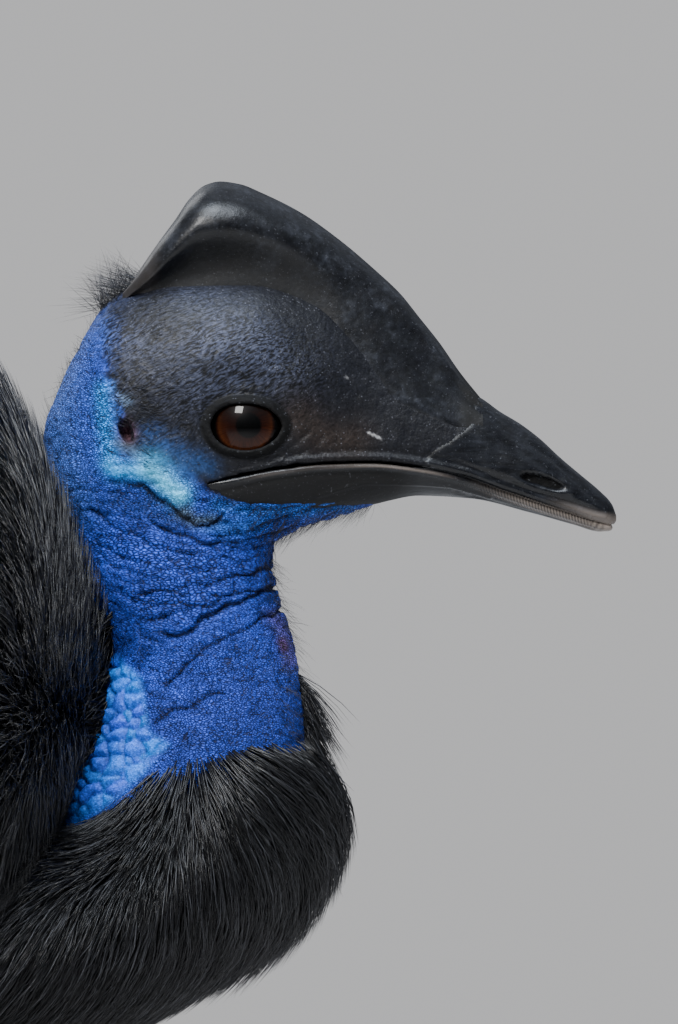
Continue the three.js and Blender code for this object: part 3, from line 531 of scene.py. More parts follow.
def skin_field():
    """The head and bare neck, with the lids, mouth and ears, and with room for the horn."""
    counts = np.ceil((SKIN_HIGH - SKIN_LOW) / FINE_VOXEL).astype(int) + 1
    x, y, z = (
        (SKIN_LOW[k] + np.arange(counts[k]) * FINE_VOXEL).reshape([-1 if k == a else 1 for a in range(3)])
        for k in range(3)
    )
    head = head_field(x, y, z)
    lids = np.sqrt(x**2 + (y - EYE_OFFSET_Y) ** 2 + z**2) - EYEBALL_RADIUS - LID_THICKNESS
    head = soft_min(head, lids, LID_BLEND)
    gap = 0.30 + 0.25 * smoothstep(x, GAPE_X, 15)
    slit = np.maximum(np.abs(z - mouth_line(x)) - gap, np.maximum(GAPE_X - x, -6 - head))
    head = np.maximum(head + HORN_DEPTH * horn_cover(x, z), -slit)
    body = soft_min(head, neck_field(x, y, z), NECK_BLEND)
    opening = np.maximum(outside_outline(x, z, lid_outline), 13 - y)
    ear_x, ear_y, ear_z = EAR
    long, deep, tall = EAR_REACH
    tilted = (x - ear_x) + EAR_LEAN * (z - ear_z)
    ear = np.sqrt((tilted / long) ** 2 + ((y - ear_y) / deep) ** 2 + ((z - ear_z) / tall) ** 2) - 1
    body = np.maximum(np.maximum(body, -opening), -ear * EAR_DEPTH)
    whole = np.concatenate([body[:, :0:-1], body], axis=1)
    return Field([SKIN_LOW[0], -(counts[1] - 1) * FINE_VOXEL, SKIN_LOW[2]], FINE_VOXEL, whole)


# Folds of the bare skin as [pixels, depth, width]: throat creases, jaw folds and the lines round the eye.
FOLDS = [
    [[(277, 568), (230, 577), (200, 585), (173, 591), (139, 592)], 1.3, 0.75],
    [[(274, 584), (240, 594), (215, 604), (180, 612), (146, 622)], 1.0, 0.65],
    [[(284, 586), (264, 590), (240, 604), (205, 616), (196, 628), (176, 636), (165, 633)], 1.6, 0.8],
    [[(287, 607), (262, 621), (240, 630), (210, 645), (195, 658), (165, 685)], 1.2, 0.75],
    [[(225, 690), (205, 697), (190, 706), (172, 710), (158, 722)], 0.8, 0.7],
    [[(236, 640), (214, 652), (198, 668), (178, 690)], 0.5, 0.6],
    [[(150, 650), (138, 668), (146, 690)], 0.5, 0.7],
    [[(112, 482), (127, 487), (146, 484), (158, 497), (175, 507), (186, 519), (198, 527), (212, 527),
      (226, 518)], 1.2, 0.75],
    [[(222, 536), (253, 531), (282, 518), (311, 512), (342, 506), (378, 500)], 1.1, 0.7],
    [[(150, 520), (175, 531), (204, 541), (233, 543), (262, 538), (300, 523)], 1.0, 0.7],
    [[(90, 512), (120, 530), (150, 541), (190, 552), (235, 560), (268, 556)], 0.8, 0.7],
    [[(205, 490), (232, 499), (262, 504), (300, 501), (345, 500)], 0.4, 0.6],
    [[(225, 548), (262, 548), (300, 533), (340, 515)], 0.8, 0.65],
    [[(238, 514), (262, 513), (292, 508)], 0.5, 0.6],
    [[(100, 545), (135, 561), (175, 570), (225, 571)], 0.6, 0.65],
    [[(98, 560), (130, 572), (168, 579), (210, 577)], 0.5, 0.6],
    [[(104, 585), (130, 592), (150, 604)], 0.5, 0.6],
    [[(112, 606), (134, 612), (160, 606)], 0.5, 0.6],
    [[(262, 465), (285, 461), (305, 451), (325, 436)], 0.4, 0.5],
    [[(268, 470), (292, 466), (315, 456), (338, 441)], 0.4, 0.5],
    [[(262, 459), (280, 454), (296, 445), (312, 431)], 0.4, 0.5],
]
folds = [(at_pixel(*pixels), depth, width) for pixels, depth, width in FOLDS]
# Where warts cover the rear of the lower neck, in pixels.
WART_OUTLINE = at_pixel(
    (20, 650), (118, 655), (143, 676), (147, 700), (152, 730), (172, 742), (146, 772), (104, 808), (56, 834),
    (20, 834),
)


def wart_share(x, z):
    """1 among the warts, 0 where the fine pebbles take over."""
    return smoothstep(-outside_outline(x, z, WART_OUTLINE), -1.2, 1.6)


def sculpt_skin(points, quads):
    """The skin's points moved by its folds, pebbles, warts and lids, with how raised each one is, given as
    painted shade that also darkens the skin under the horn's edges and round the eye.
    """
    out = normals(points, quads)
    x, y, z = points.T
    on_head = head_field(x, y, z) < neck_field(x, y, z)
    bare = smoothstep(-outside_outline(x, z, BLUE_OUTLINE), -5, 4)
    fold_x, fold_z = x + noise(points, 7, 3), z + noise(points, 5, 4)
    fold = sum(
        depth * hill(far_from_line(fold_x, fold_z, line) / width, 0, 0.82) for line, depth, width in folds
    ) * (0.85 + 0.5 * noise(points, 9, 5))
    crease = np.clip(fold / 0.8, 0, 1) ** 2
    rows = points * [1.0, 1.0, 2.6] + 1.6 * np.stack([0 * x, 0 * x, noise(points, 11, 11)], 1)
    ridge = 1 - np.abs(noise(rows, 6.5, 12)) * 2.2
    fine_ridge = 1 - np.abs(noise(rows, 2.9, 13)) * 2.2
    drift = np.stack([noise(points, 6, 16), noise(points, 6, 17), noise(points, 6, 18)], 1)
    wart_inside, wart_tone = cells((points + 1.6 * drift + 0.8 * out) * [0.82, 0.9, 1.08], 4.9, 23)
    warts = wart_share(x, z)
    wart_rise = np.clip(wart_inside / 0.85, 0, 1)
    wart = np.sqrt(1 - (1 - wart_rise) ** 2)
    # Painted shade: the colour darkens in the sunken wrinkle lines and in the grooves between warts.
    relief = (1 - 0.45 * np.maximum(ridge, 0) ** 3 - 0.35 * np.maximum(fine_ridge, 0) ** 3) * (1 - warts)
    relief += warts * (0.35 + 0.75 * wart)
    rough = 0.45 + 0.75 * hill(z, -38, 26)
    ridges = 0.6 * np.maximum(ridge, 0) ** 3 + 0.34 * np.maximum(fine_ridge, 0) ** 3
    push = -bare * (1 - warts) * rough * ridges
    push += bare * warts * (2.5 * wart - 1.0) * smoothstep(z - collar_edge(x), 0, 6)
    push += 0.10 * (1 - bare) * noise(points, 1.6, 14)
    push += 0.35 * bare * noise(points, 9, 25)
    for line in SWELLINGS:
        push += 0.9 * hill(far_from_line(x, z, line), 0, 3.0)
    push -= fold
    tone = 0.5 + 0.5 * noise(points, 5, 15)
    around = outside_outline(x, z, lid_outline)
    near = (np.abs(y) > 12) & on_head
    lids = 0.2 * hill(around, 1.0, 0.8) - 0.45 * hill(around, 3.0, 0.7)
    below = smoothstep(-(z + 0.4 * x), -4, 6)
    lids -= 0.3 * below * hill(around, 4.9, 0.6)
    lids -= 0.3 * below * hill(around, 6.7, 0.6)
    lids -= 0.25 * below * hill(around, 8.6, 0.6)
    push += np.where(near, lids * smoothstep(around, -0.2, 0.4), 0)
    lip = z - mouth_line(x)
    push += smoothstep(x, -9, 12) * 0.9 * hill(lip, 1.4, 0.8) * on_head
    push -= np.where(x > 0, 0.35 * hill(lip, 3.2, 0.8), 0) * on_head
    covered = horn_cover(x, z) * on_head
    push = push * (1 - covered)
    # Painted shade: darker in the fold creases, where horn covers the skin, and on the dark lids and inside
    # the eye opening.
    relief = np.where(bare > 0.5, relief, 1.0) * (1 - 0.86 * crease)
    relief = relief * (1 - 0.95 * smoothstep(covered, 0, 0.25))
    relief *= 1 - 0.97 * np.where(near, smoothstep(3.7 - around, 0, 1.4), 0)
    tone = tone * (1 - warts) + wart_tone * warts
    return points + out * push[:, None], relief, tone, warts


# Colours, linear.
FACE_BLACK = (0.006, 0.0065, 0.009)
# The crown's grey, painted for the sheen of its fine bristles.
CROWN_SHEEN_GREY = (0.020, 0.023, 0.034)
SPECK = (0.55, 0.55, 0.56)
FACE_BROWN = (0.032, 0.020, 0.012)
COBALT = (0.026, 0.080, 0.55)
NAPE_BLUE = (0.085, 0.20, 0.70)
LOWER_BLUE = (0.030, 0.070, 0.46)
CYAN = (0.03, 0.33, 1.0)
PALE_CYAN = (0.04, 0.42, 1.0)
PALEST_CYAN = (0.10, 0.60, 1.0)
JAW_BLUE = (0.026, 0.17, 0.72)
SLATE_BLUE = (0.012, 0.038, 0.115)
POUCH_GREY = (0.10, 0.16, 0.22)
WART_BLUE = (0.012, 0.25, 1.0)
WART_VIOLET = (0.05, 0.13, 0.85)
THROAT_VIOLET = (0.16, 0.13, 0.55)
STAIN = (0.16, 0.04, 0.05)
EAR_FLESH = (0.10, 0.050, 0.060)
EAR_GREY = (0.12, 0.19, 0.28)

# The outline of the blue skin in side view, in pixels: nape, border with the black face, jaw and neck.
BLUE_OUTLINE = at_pixel(
    (20, 230), (104, 290), (100, 335), (104, 375), (113, 395), (117, 425), (118, 452), (138, 459), (158, 463),
    (185, 474), (210, 488), (240, 498), (300, 500), (345, 500), (380, 499), (420, 515), (420, 1100),
    (-100, 1100),
)
# Patches of colour on the skin as [pixels, reach, colour, strength].
PATCHES = [
    # The crown and brow patches paint the sheen of the fine bristles grey.
    [[(190, 290), (240, 330), (190, 350), (140, 340)], 9, CROWN_SHEEN_GREY, 0.9],
    [[(200, 385), (270, 360)], 8, CROWN_SHEEN_GREY, 0.5],
    [[(75, 300), (58, 360), (52, 430), (62, 500)], 9, NAPE_BLUE, 0.95],
    [[(180, 720), (230, 700), (290, 700)], 13, LOWER_BLUE, 0.7],
    [[(150, 440), (175, 455), (205, 470)], 4, SLATE_BLUE, 0.8],
    [[(104, 392), (108, 425), (112, 452)], 2.6, CYAN, 0.95],
    [[(114, 396), (128, 402)], 1.6, EAR_GREY, 0.3],
    [[(118, 444), (130, 450), (140, 456)], 1.7, EAR_GREY, 0.55],
    [[(112, 466), (122, 471), (141, 471)], 2.9, PALE_CYAN, 1.0],
    [[(152, 470), (165, 482), (180, 495)], 3.6, PALEST_CYAN, 1.0],
    [[(120, 500), (150, 508), (176, 520)], 3.2, SLATE_BLUE, 0.45],
    [[(218, 505), (250, 511), (300, 509), (350, 504)], 2.4, JAW_BLUE, 0.95],
    [[(208, 522), (232, 528), (262, 523)], 3.0, JAW_BLUE, 0.8],
    [[(184, 513), (196, 521), (212, 520)], 2.2, POUCH_GREY, 0.85],
    [[(274, 616), (284, 632), (292, 660)], 2.6, THROAT_VIOLET, 0.7],
    [[(281, 641), (284, 647)], 1.2, STAIN, 0.7],
    [[(127, 430), (130, 437)], 2.3, EAR_FLESH, 0.85],
    [[(204, 478), (216, 489), (232, 498)], 2.2, FACE_BLACK, 0.8],
    [[(300, 420), (322, 436), (352, 440)], 6, FACE_BROWN, 0.4],
    [[(120, 312), (150, 322), (172, 332)], 6, FACE_BLACK, 0.85],
    [[(344, 377), (347, 378)], 0.3, SPECK, 0.7],
    [[(368, 433), (381, 439)], 0.26, SPECK, 0.8],
]
# The pale swellings below the ear, in pixels.
SWELLINGS = [at_pixel((116, 469), (141, 471)), at_pixel((152, 472), (165, 483), (180, 494))]
patches = [
    (at_pixel(*pixels), reach, np.array(colour), strength) for pixels, reach, colour, strength in PATCHES
]


def skin_colours(points, relief, tone, warts):
    """The painted colour of the head and neck: black, blue and patches, with painted shade in the grooves and
    creases.
    """
    x, _, z = points.T
    wander = 1.6 * noise(points, 6, 31) + 1.0 * noise(points, 2.2, 32)
    blue = smoothstep(-(outside_outline(x, z, BLUE_OUTLINE) + wander), -3.0, 3.0)[:, None]
    colour = np.array(FACE_BLACK) * (1 - blue) + np.array(COBALT) * blue
    for line, reach, tint, strength in patches:
        far = far_from_line(x, z, line) + 0.35 * wander
        share = strength * np.exp(-(np.maximum(far, 0) / reach) ** 2)[:, None]
        colour = colour * (1 - share) + tint * share
    azure = np.array(WART_BLUE) * (1 - tone[:, None] ** 2) + np.array(WART_VIOLET) * tone[:, None] ** 2
    colour = colour * (1 - warts[:, None]) + azure * warts[:, None]
    patchy = 1 + 0.22 * noise(points, 14, 33) + 0.16 * noise(points, 3, 34) + 0.25 * (tone - 0.5)
    # Painted shade from the relief, with a patchy random tone.
    shade = (0.08 + 0.98 * relief) * patchy
    return colour * np.clip(shade, 0.03, 1.6)[:, None]


skin_points, skin_quads = skin_field().surface()
skin_points, skin_relief_shade, skin_tone, skin_warts = sculpt_skin(skin_points, skin_quads)
skin_paint = skin_colours(skin_points, skin_relief_shade, skin_tone, skin_warts)
skin_x, _, skin_z = skin_points.T
skin_bare = smoothstep(-outside_outline(skin_x, skin_z, BLUE_OUTLINE), -2.5, 2.5) * (1 - 0.65 * skin_warts)
for line in SWELLINGS:
    skin_bare = skin_bare * (1 - 0.7 * hill(far_from_line(skin_x, skin_z, line), 0, 3.2))
# Where the pebbles of the bare skin are coarse, in pixels.
COARSE_LINE = at_pixel((110, 540), (170, 560), (230, 570), (150, 600), (200, 600))
skin_coarse = hill(far_from_line(skin_x, skin_z, COARSE_LINE), 0, 10)
# Where the crown's fine bristle strokes are drawn, lighter as their painted sheen, in pixels.
STROKES_LINE = at_pixel((120, 340), (180, 330), (250, 350), (290, 370), (180, 400), (120, 390))
skin_strokes = hill(far_from_line(skin_x, skin_z, STROKES_LINE), 0, 12) * (1 - skin_bare)


# Casque: a low wedge of horn, flat behind, with an overhanging rim and a hollow flank

casque_top = profile([
    [-35.5, 38.5], [-33.6, 41.2], [-29.3, 47.8], [-24.9, 54.2], [-20.6, 60], [-16.2, 66.4], [-11.9, 70.1],
    [-7.5, 71.2], [-1.7, 70.4], [4.1, 68.1], [15.7, 62.3], [27.2, 54.2], [38.8, 44.3], [44.6, 38.8],
    [50.4, 31.6], [56.2, 24.3], [62, 15.9], [68.5, 7.8],
])
casque_corner = profile([
    [-35.5, 7], [-28, 12], [-20, 13], [-12, 11], [-4, 8.6], [6, 7.2], [18, 5.6], [30, 4.4], [42, 3.6],
    [68, 2.2],
])
casque_corner_drop = profile([[-35.5, 0.4], [-20, 2], [-12, 3], [6, 2.5], [30, 2], [68, 1.2]])
casque_rim, casque_rim_height, casque_waist, casque_waist_height = profiles([
    [-35.5, 11, 37.6, 10.5, 37.2], [-28, 16, 44, 13.0, 40], [-20, 18.5, 52, 12.6, 44],
    [-12, 19, 58, 12.2, 46.5], [-4, 18, 58.5, 12, 47.5], [6, 15.6, 56.5, 11.4, 46.5],
    [18, 12, 51.5, 10.6, 42], [30, 9.4, 43.5, 10.9, 32], [42, 7.8, 34, 10.6, 21],
    [54, 6.6, 20.5, 9.2, 11], [68, 5.4, 5.5, 7.4, 3.5],
])
casque_base = profile([
    [-35.5, 9], [-28, 12.2], [-20, 12.6], [-12, 12.4], [-4, 12], [6, 11.2], [18, 10.6], [30, 12.6],
    [42, 13.0], [54, 11.5], [62, 10.2], [68, 8.7],
])
casque_base_height = profile([
    [-35.5, 36.2], [-28, 36.4], [-20, 37.2], [-12, 38.6], [-4, 39.8], [6, 39.6], [18, 34.6], [26, 25],
    [33, 16.5], [42, 9.3], [54, 4.2], [61, 0.9], [65, -0.2], [68, 1.4],
])
CASQUE_REAR, CASQUE_FRONT = -35.5, 68.5


def stations(start, end, count):
    """count + 1 places between two ends, closer together near the ends."""
    return start + (end - start) * (1 - np.cos(np.pi * np.arange(count + 1) / count)) / 2


def casque_ring(x):
    """The section of the casque at a place along it."""
    top, base, width = casque_top(x), casque_base_height(x), casque_base(x)
    flank = curve([
        [0, top],
        [casque_corner(x), top - casque_corner_drop(x)],
        [0.2 * casque_corner(x) + 0.78 * casque_rim(x),
         0.40 * (top - casque_corner_drop(x)) + 0.60 * casque_rim_height(x) + 0.7],
        [casque_rim(x), casque_rim_height(x) - 1.6],
        [casque_waist(x), casque_waist_height(x)],
        [width, base],
    ])(np.linspace(0, 1, 40))
    under = np.array([[width * 0.98, base - 3], [width * 0.7, base - 6], [0, base - 7]])
    half = np.vstack([flank, under])
    mirrored = half[-2:0:-1] * [-1, 1]
    side = np.vstack([half, mirrored])
    return np.column_stack([np.full(len(side), x), side])


casque_form = outward(loft([casque_ring(x) for x in stations(CASQUE_REAR, CASQUE_FRONT, 150)]))


# Bill: upper and lower horn, cut off along the mouth and let in under the skin behind their edges

NOSTRIL = (85.6, -15.9)
BILL_RING_POINTS = 80
BILL_CUT_POINTS = 10
BILL_RISE = 0.12
RIBS_START = 64
RIB_PITCH = 0.8
RIB_DEPTH = 0.10
GROOVES = [
    [[(480, 414), (517, 435), (552, 459), (582, 487), (604, 508)], 0.5, 0.95],
    [[(500, 440), (535, 462), (560, 478)], 0.3, 1.0],
]
LOWER_GROOVES = [
    [[(317, 496), (343, 488), (363, 483), (391, 483), (421, 484), (450, 486), (490, 497)], -0.55, 0.5],
    [[(455, 492), (490, 503), (540, 517), (590, 530)], 0.5, 0.7],
]


def closed_ring(ring, steps):
    """A ring whose open ends are joined straight across."""
    share = np.linspace(0, 1, steps + 2)[1:-1, None]
    return np.vstack([ring, ring[-1] * (1 - share) + ring[0] * share])


def bill_form(places, edge_at, span):
    """One half of the bill: the head's sections, cut off at an edge. span gives the angles it covers."""
    rings = []
    for x in places:
        middle, bottom = head_middle(x), head_bottom(x)
        turn = np.arccos(np.clip(-(middle - edge_at(x)) / (middle - bottom), -0.999, 0.999))
        ring = head_ring(x, np.linspace(*span(turn), BILL_RING_POINTS), BILL_RISE)
        rings.append(closed_ring(ring, BILL_CUT_POINTS))
    return outward(loft(rings))


def grooved(push, x, z, side, grooves):
    """push with grooves cut into it along lines in pixels."""
    for pixels, depth, width in grooves:
        push = push - depth * side * hill(far_from_line(x, z, at_pixel(*pixels)), 0, width)
    return push


def upper_bill():
    """The upper half of the bill, how pale it is, and how much painted shade it takes deep in the nostril and
    under the skin.
    """
    places = np.concatenate([np.linspace(44, 100, 120)[:-1], stations(100, HEAD_FRONT, 24)])
    points, quads, ends = bill_form(places, lambda x: mouth_line(x) + 0.1, lambda turn: (-turn, turn))
    out = normals(points, quads)
    x, y, z = points.T
    behind = smoothstep(bill_edge(z) - x, 0.4, 5)
    push = 0.06 - 1.16 * behind
    ax, az = x - NOSTRIL[0], z - NOSTRIL[1]
    along, up = ax * 0.966 - az * 0.259, ax * 0.259 + az * 0.966
    hole = np.hypot(along / 6.6, up / 1.9)
    side = smoothstep(np.abs(y), 3, 4.5)
    push -= 5.5 * side * smoothstep(1.1 - hole, 0, 0.5) * smoothstep(up, -2.0, 1.0)
    push += 0.45 * side * hill(hole, 1.35, 0.22) * smoothstep(-up, -0.5, 1)
    push += 0.9 * side * np.exp(-((ax + 12) / 11) ** 2 - ((az - 3) / 4.0) ** 2)
    push = grooved(push, x, z, side, GROOVES)
    lip = z - mouth_line(x)
    push += 0.7 * hill(lip, 1.5, 0.7) * side - 0.4 * hill(lip, 3.2, 0.8) * side
    push = push * smoothstep(HEAD_FRONT - x, 0, 3)
    flat = np.abs(lip) < 0.6
    push = np.where(flat, np.minimum(push, 0), push)
    pale = smoothstep(x, 84, 104) * smoothstep(-lip, -3.8, -0.8) * 0.6
    # Painted shade: the upper part of the nostril and the horn tucked under the skin are painted black.
    hollow_shade_and_dull = side * smoothstep(1.05 - hole, 0, 0.25) * smoothstep(up, -1.4, 0.2)
    hollow_shade_and_dull = np.maximum(hollow_shade_and_dull, smoothstep(behind, 0.01, 0.3))
    return (points + out * push[:, None], quads, ends), pale, hollow_shade_and_dull


def lower_edge(x):
    """The height of the lower half's edge along the mouth."""
    return mouth_line(x) - 0.25 - 0.4 * smoothstep(x, 2, 20) + 1.2 * smoothstep(x, 46, 56)


def lower_bill():
    """The lower half of the bill, and how pale it is, with a painted highlight along the lip, how dull, and
    how far down in a rib groove it is, which also paints shade there.
    """
    places = np.concatenate([
        stations(GAPE_X - 0.8, -4, 16)[:-1],
        np.linspace(-4, RIBS_START, 110)[:-1],
        np.arange(RIBS_START, 98, 0.2),
        stations(98, 106.2, 22),
    ])
    points, quads, ends = bill_form(places, lower_edge, lambda turn: (turn, 2 * np.pi - turn))
    out = normals(points, quads)
    x, y, z = points.T
    covered = smoothstep(mandible_edge(x) - z, -0.8, 3.6) * smoothstep(47 - x, -1, 1)
    covered = np.maximum(covered, smoothstep(-x, 2, -GAPE_X + 0.5) * 0.35)
    lip = mouth_line(x) - z
    side = smoothstep(np.abs(y), 1.5, 3.0)
    push = -1.3 * covered
    push += 0.55 * hill(lip, 1.5, 0.75) * smoothstep(x, GAPE_X, -2)
    push -= 0.4 * hill(lip, 3.2, 0.8) * smoothstep(50 - x, 0, 10)
    push = grooved(push, x, z, side, LOWER_GROOVES)
    # The same mask that cuts the rib grooves paints shade in them.
    ribbed = smoothstep(x, RIBS_START, 70) * smoothstep(105 - x, 0, 3) * smoothstep(2.9 - lip, 0, 0.6)
    ribbed = ribbed * (0.5 + 0.5 * np.sin(2 * np.pi * (x + 0.3 * z) / RIB_PITCH))
    push -= RIB_DEPTH * ribbed
    push -= 0.55 * smoothstep(x, 48, 56) * smoothstep(0.9 - lip, 0, 0.6)
    push = np.where(lip < 0.6, np.minimum(push, 0), push)
    pale = 0.75 * smoothstep(x, 62, 84) * smoothstep(3.2 - lip, 0, 0.8) + 0.5 * smoothstep(x, 98, 105)
    # Painted highlight: a thin pale line along the lower lip, below the slit.
    pale += 0.55 * hill(lip, 1.0, 0.32) * smoothstep(x, -4, 12) * smoothstep(64 - x, 0, 14)
    # Darker and duller on the rear of the lower bill, below the lip.
    dull = 0.85 * smoothstep(58 - x, 0, 18) * smoothstep(lip, 1.6, 3)
    return (points + out * push[:, None], quads, ends), np.clip(pale, 0, 1), dull, ribbed


upper_form, upper_pale, upper_hollow_shade = upper_bill()
lower_form, lower_pale_and_highlight, lower_dull, lower_rib_shade = lower_bill()

# Body under the feathers, as in the solid

FEATHERED_NECK = np.array([
    [-42, -86, 16, -80, 24], [-46, -98, 21, -91, 28], [-50, -108, 23, -104, 33], [-53, -114, 22, -119, 37],
    [-56, -117, 14, -137, 42], [-60, -118, -4, -154, 48], [-66, -118, -28, -168, 55],
    [-76, -116, -56, -180, 63], [-92, -112, -92, -190, 70], [-120, -108, -130, -196, 76],
], float)
BEND_END = len(FEATHERED_NECK) - 1
bend_columns = [profile(list(zip(range(BEND_END + 1), column))) for column in FEATHERED_NECK.T]

BODY_FRONT, BODY_REAR = -47.0, -656.0
body_top, body_bottom, body_width = profiles([
    [BODY_REAR, -128, -138, 8], [-640, -92, -170, 48], [-600, -38, -208, 90], [-540, 18, -240, 124],
    [-460, 68, -262, 150], [-380, 96, -270, 165], [-300, 106, -270, 168], [-220, 99, -258, 160],
    [-150, 76, -236, 138], [-100, 40, -206, 108], [-78, 15, -180, 84], [-66, -8, -150, 62],
    [-60, -26, -124, 45], [-54, -42, -102, 28], [-50, -52, -90, 18], [BODY_FRONT, -66, -74, 5],
])


def turns(count):
    """Angles evenly round a circle."""
    return 2 * np.pi * (np.arange(count) + 0.5) / count


def body_ring(x, angles):
    """The section of the body at a place along it."""
    top, bottom = body_top(x), body_bottom(x)
    s, c = np.sin(angles), np.cos(angles)
    y = body_width(x) * np.sign(s) * np.abs(s) ** 0.9
    return np.stack([np.full_like(y, x), y, (top + bottom) / 2 + c * (top - bottom) / 2], 1)


def bend_ring(step, angles):
    """A section of the feathered neck where it bends down into the body."""
    crease_x, crease_z, bend_x, bend_z, width = (float(column(step)) for column in bend_columns)
    crease, bend = np.array([crease_x, 0, crease_z]), np.array([bend_x, 0, bend_z])
    centre, reach = (crease + bend) / 2, (bend - crease) / 2
    return centre + np.cos(angles)[:, None] * reach + np.sin(angles)[:, None] * [0, width, 0]


def limb_sections(knots, sizes):
    """Sections of a round form along a line of knots, with a [depth, width] at each."""
    line = curve(knots)
    steps = np.linspace(0, 1, len(knots))
    depth, width = (profile(list(zip(steps, column))) for column in np.array(sizes, float).T)

    def section(t):
        tangent = (line(t + 1e-4) - line(t - 1e-4))[0]
        tangent /= np.linalg.norm(tangent)
        side = np.array([0, 1, 0]) - tangent * tangent[1]
        side /= np.linalg.norm(side)
        return line(t)[0], np.cross(side, tangent), side, float(depth(t)), float(width(t))

    return section


def limb(section, places, around, relief=lambda t, angles: 0):
    """A closed form over a limb's sections. relief is added to the radius."""
    angles = turns(around)
    rings = []
    for t in places:
        centre, front, side, depth, width = section(t)
        more = relief(t, angles) + np.zeros(around)
        rings.append(
            centre
            + (np.cos(angles) * (depth + more))[:, None] * front
            + (np.sin(angles) * (width + more))[:, None] * side
        )
    return outward(loft(rings))


def on_floor(x, y, z):
    """A knot given by its height over the floor."""
    return [x, y, z - EYE_HEIGHT]


def thigh_section(side, shift):
    """Sections of the feathered thigh."""
    y = side * STANCE_HALF_WIDTH
    knots = [
        on_floor(-318 + shift, side * 82, 450), on_floor(-342 + shift, side * 83, 396),
        on_floor(-378 + shift, y, 334), on_floor(ANKLE_X + 6 + shift, y, ANKLE_Z + 20),
    ]
    return limb_sections(knots, [[70, 46], [58, 47], [38, 34], [23, 20]])


SIDES = [(1, "left", -STRIDE), (-1, "right", STRIDE)]
BODY_VOXEL, TRUNK_VOXEL, LEG_VOXEL = 4.0, 3.0, 1.45
trunk_forms = [
    outward(loft([body_ring(x, turns(64)) for x in stations(BODY_REAR, BODY_FRONT, 60)])),
    outward(loft([bend_ring(step, turns(48)) for step in np.linspace(0, BEND_END, 60)])),
]
body_only = field_round(trunk_forms[:1], BODY_VOXEL, 12)
thigh_forms = [limb(thigh_section(side, shift), np.linspace(0, 1, 30), 40) for side, _, shift in SIDES]
trunk = field_round(trunk_forms + thigh_forms, TRUNK_VOXEL, 14).soften(2)
SKIN_DEPTH = 3.0


# Shanks, toes and claws

TOES = [("middle", 3, 122, 14.5, 34, 8), ("inner", -36, 72, 12, 74, 7.5), ("outer", 38, 92, 12.5, 27, 7)]
SCUTE_HEIGHT = 1.5
LEG_GREY = np.array([0.085, 0.078, 0.066])
LEG_DARK = np.array([0.030, 0.028, 0.026])
TRUNK_BLACK = [0.012, 0.012, 0.014]


def scutes(start, end, count, height, spread=0.6):
    """Plates across the front of a limb: each rises to its lower edge and steps back."""

    def relief(t, angles):
        share = (t - start) / (end - start) * count
        front = np.maximum(np.cos(angles), 0) ** spread
        rise = share - np.floor(share)
        drop = 1 - smoothstep(rise, 0.86, 0.99)
        return height * front * (0.15 + 0.85 * rise) * drop if start < t < end else 0 * angles

    return relief


def shank_form(side, shift):
    """The bare leg from the ankle to the foot, with plates down its front."""
    y = side * STANCE_HALF_WIDTH
    knots = [
        on_floor(ANKLE_X + 9 + shift, y, ANKLE_Z + 30), on_floor(ANKLE_X + shift, y, ANKLE_Z + 2),
        on_floor(ANKLE_X + 4 + shift, y, ANKLE_Z - 32), on_floor(ANKLE_X + 12 + shift, y, 145),
        on_floor(FOOT_X - 5 + shift, y, 62), on_floor(FOOT_X + shift, y, 26),
        on_floor(FOOT_X + 3 + shift, y, -4),
    ]
    sizes = [[14, 12], [22.5, 18], [16.5, 14.5], [13.5, 12.5], [14.5, 13.5], [20, 20], [19, 20]]
    relief = scutes(0.3, 0.86, 17, SCUTE_HEIGHT)
    return limb(limb_sections(knots, sizes), np.linspace(0, 1, 330), 56, relief)


def along_toe(side, shift, turn, distance, height):
    """A knot at a distance along a toe."""
    angle = np.radians(turn)
    ahead, aside = np.cos(angle) * distance, np.sin(angle) * distance
    return on_floor(FOOT_X + shift + ahead, side * (STANCE_HALF_WIDTH + aside), height)


def toe_form(side, shift, toe):
    _, turn, length, half, _, _ = toe
    heights = [15, 15, 12.5, 12.5, 10, 10.5, 9]
    shares = [0, 0.2, 0.38, 0.56, 0.74, 0.88, 1]
    knots = [along_toe(side, shift, turn, length * share, height) for share, height in zip(shares, heights)]
    sizes = [[half * s * 0.92, half * s] for s in (0.9, 1.05, 0.86, 1, 0.8, 0.92, 0.68)]
    relief = scutes(0.12, 0.98, round(length / 7.5), 1.1, 0.8)

    def upper(t, angles):
        return relief(t, angles - np.pi)

    return limb(limb_sections(knots, sizes), np.linspace(0, 1, 150), 40, upper)


def claw_form(side, shift, toe):
    name, turn, length, _, claw, half = toe
    knots = [
        along_toe(side, shift, turn, length + distance, height)
        for distance, height in ((-7, 9), (claw * 0.33, 9.8), (claw * 0.68, 7.8), (claw, 4))
    ]
    taper = [1, 0.8, 0.5, 0.12] if name == "inner" else [1, 0.88, 0.6, 0.16]
    sizes = [[half * s, half * s * 0.85] for s in taper]
    points, quads, ends = limb(limb_sections(knots, sizes), np.linspace(0, 1, 40), 24)
    points[:, 2] = np.maximum(points[:, 2], -EYE_HEIGHT)
    return points, quads, ends


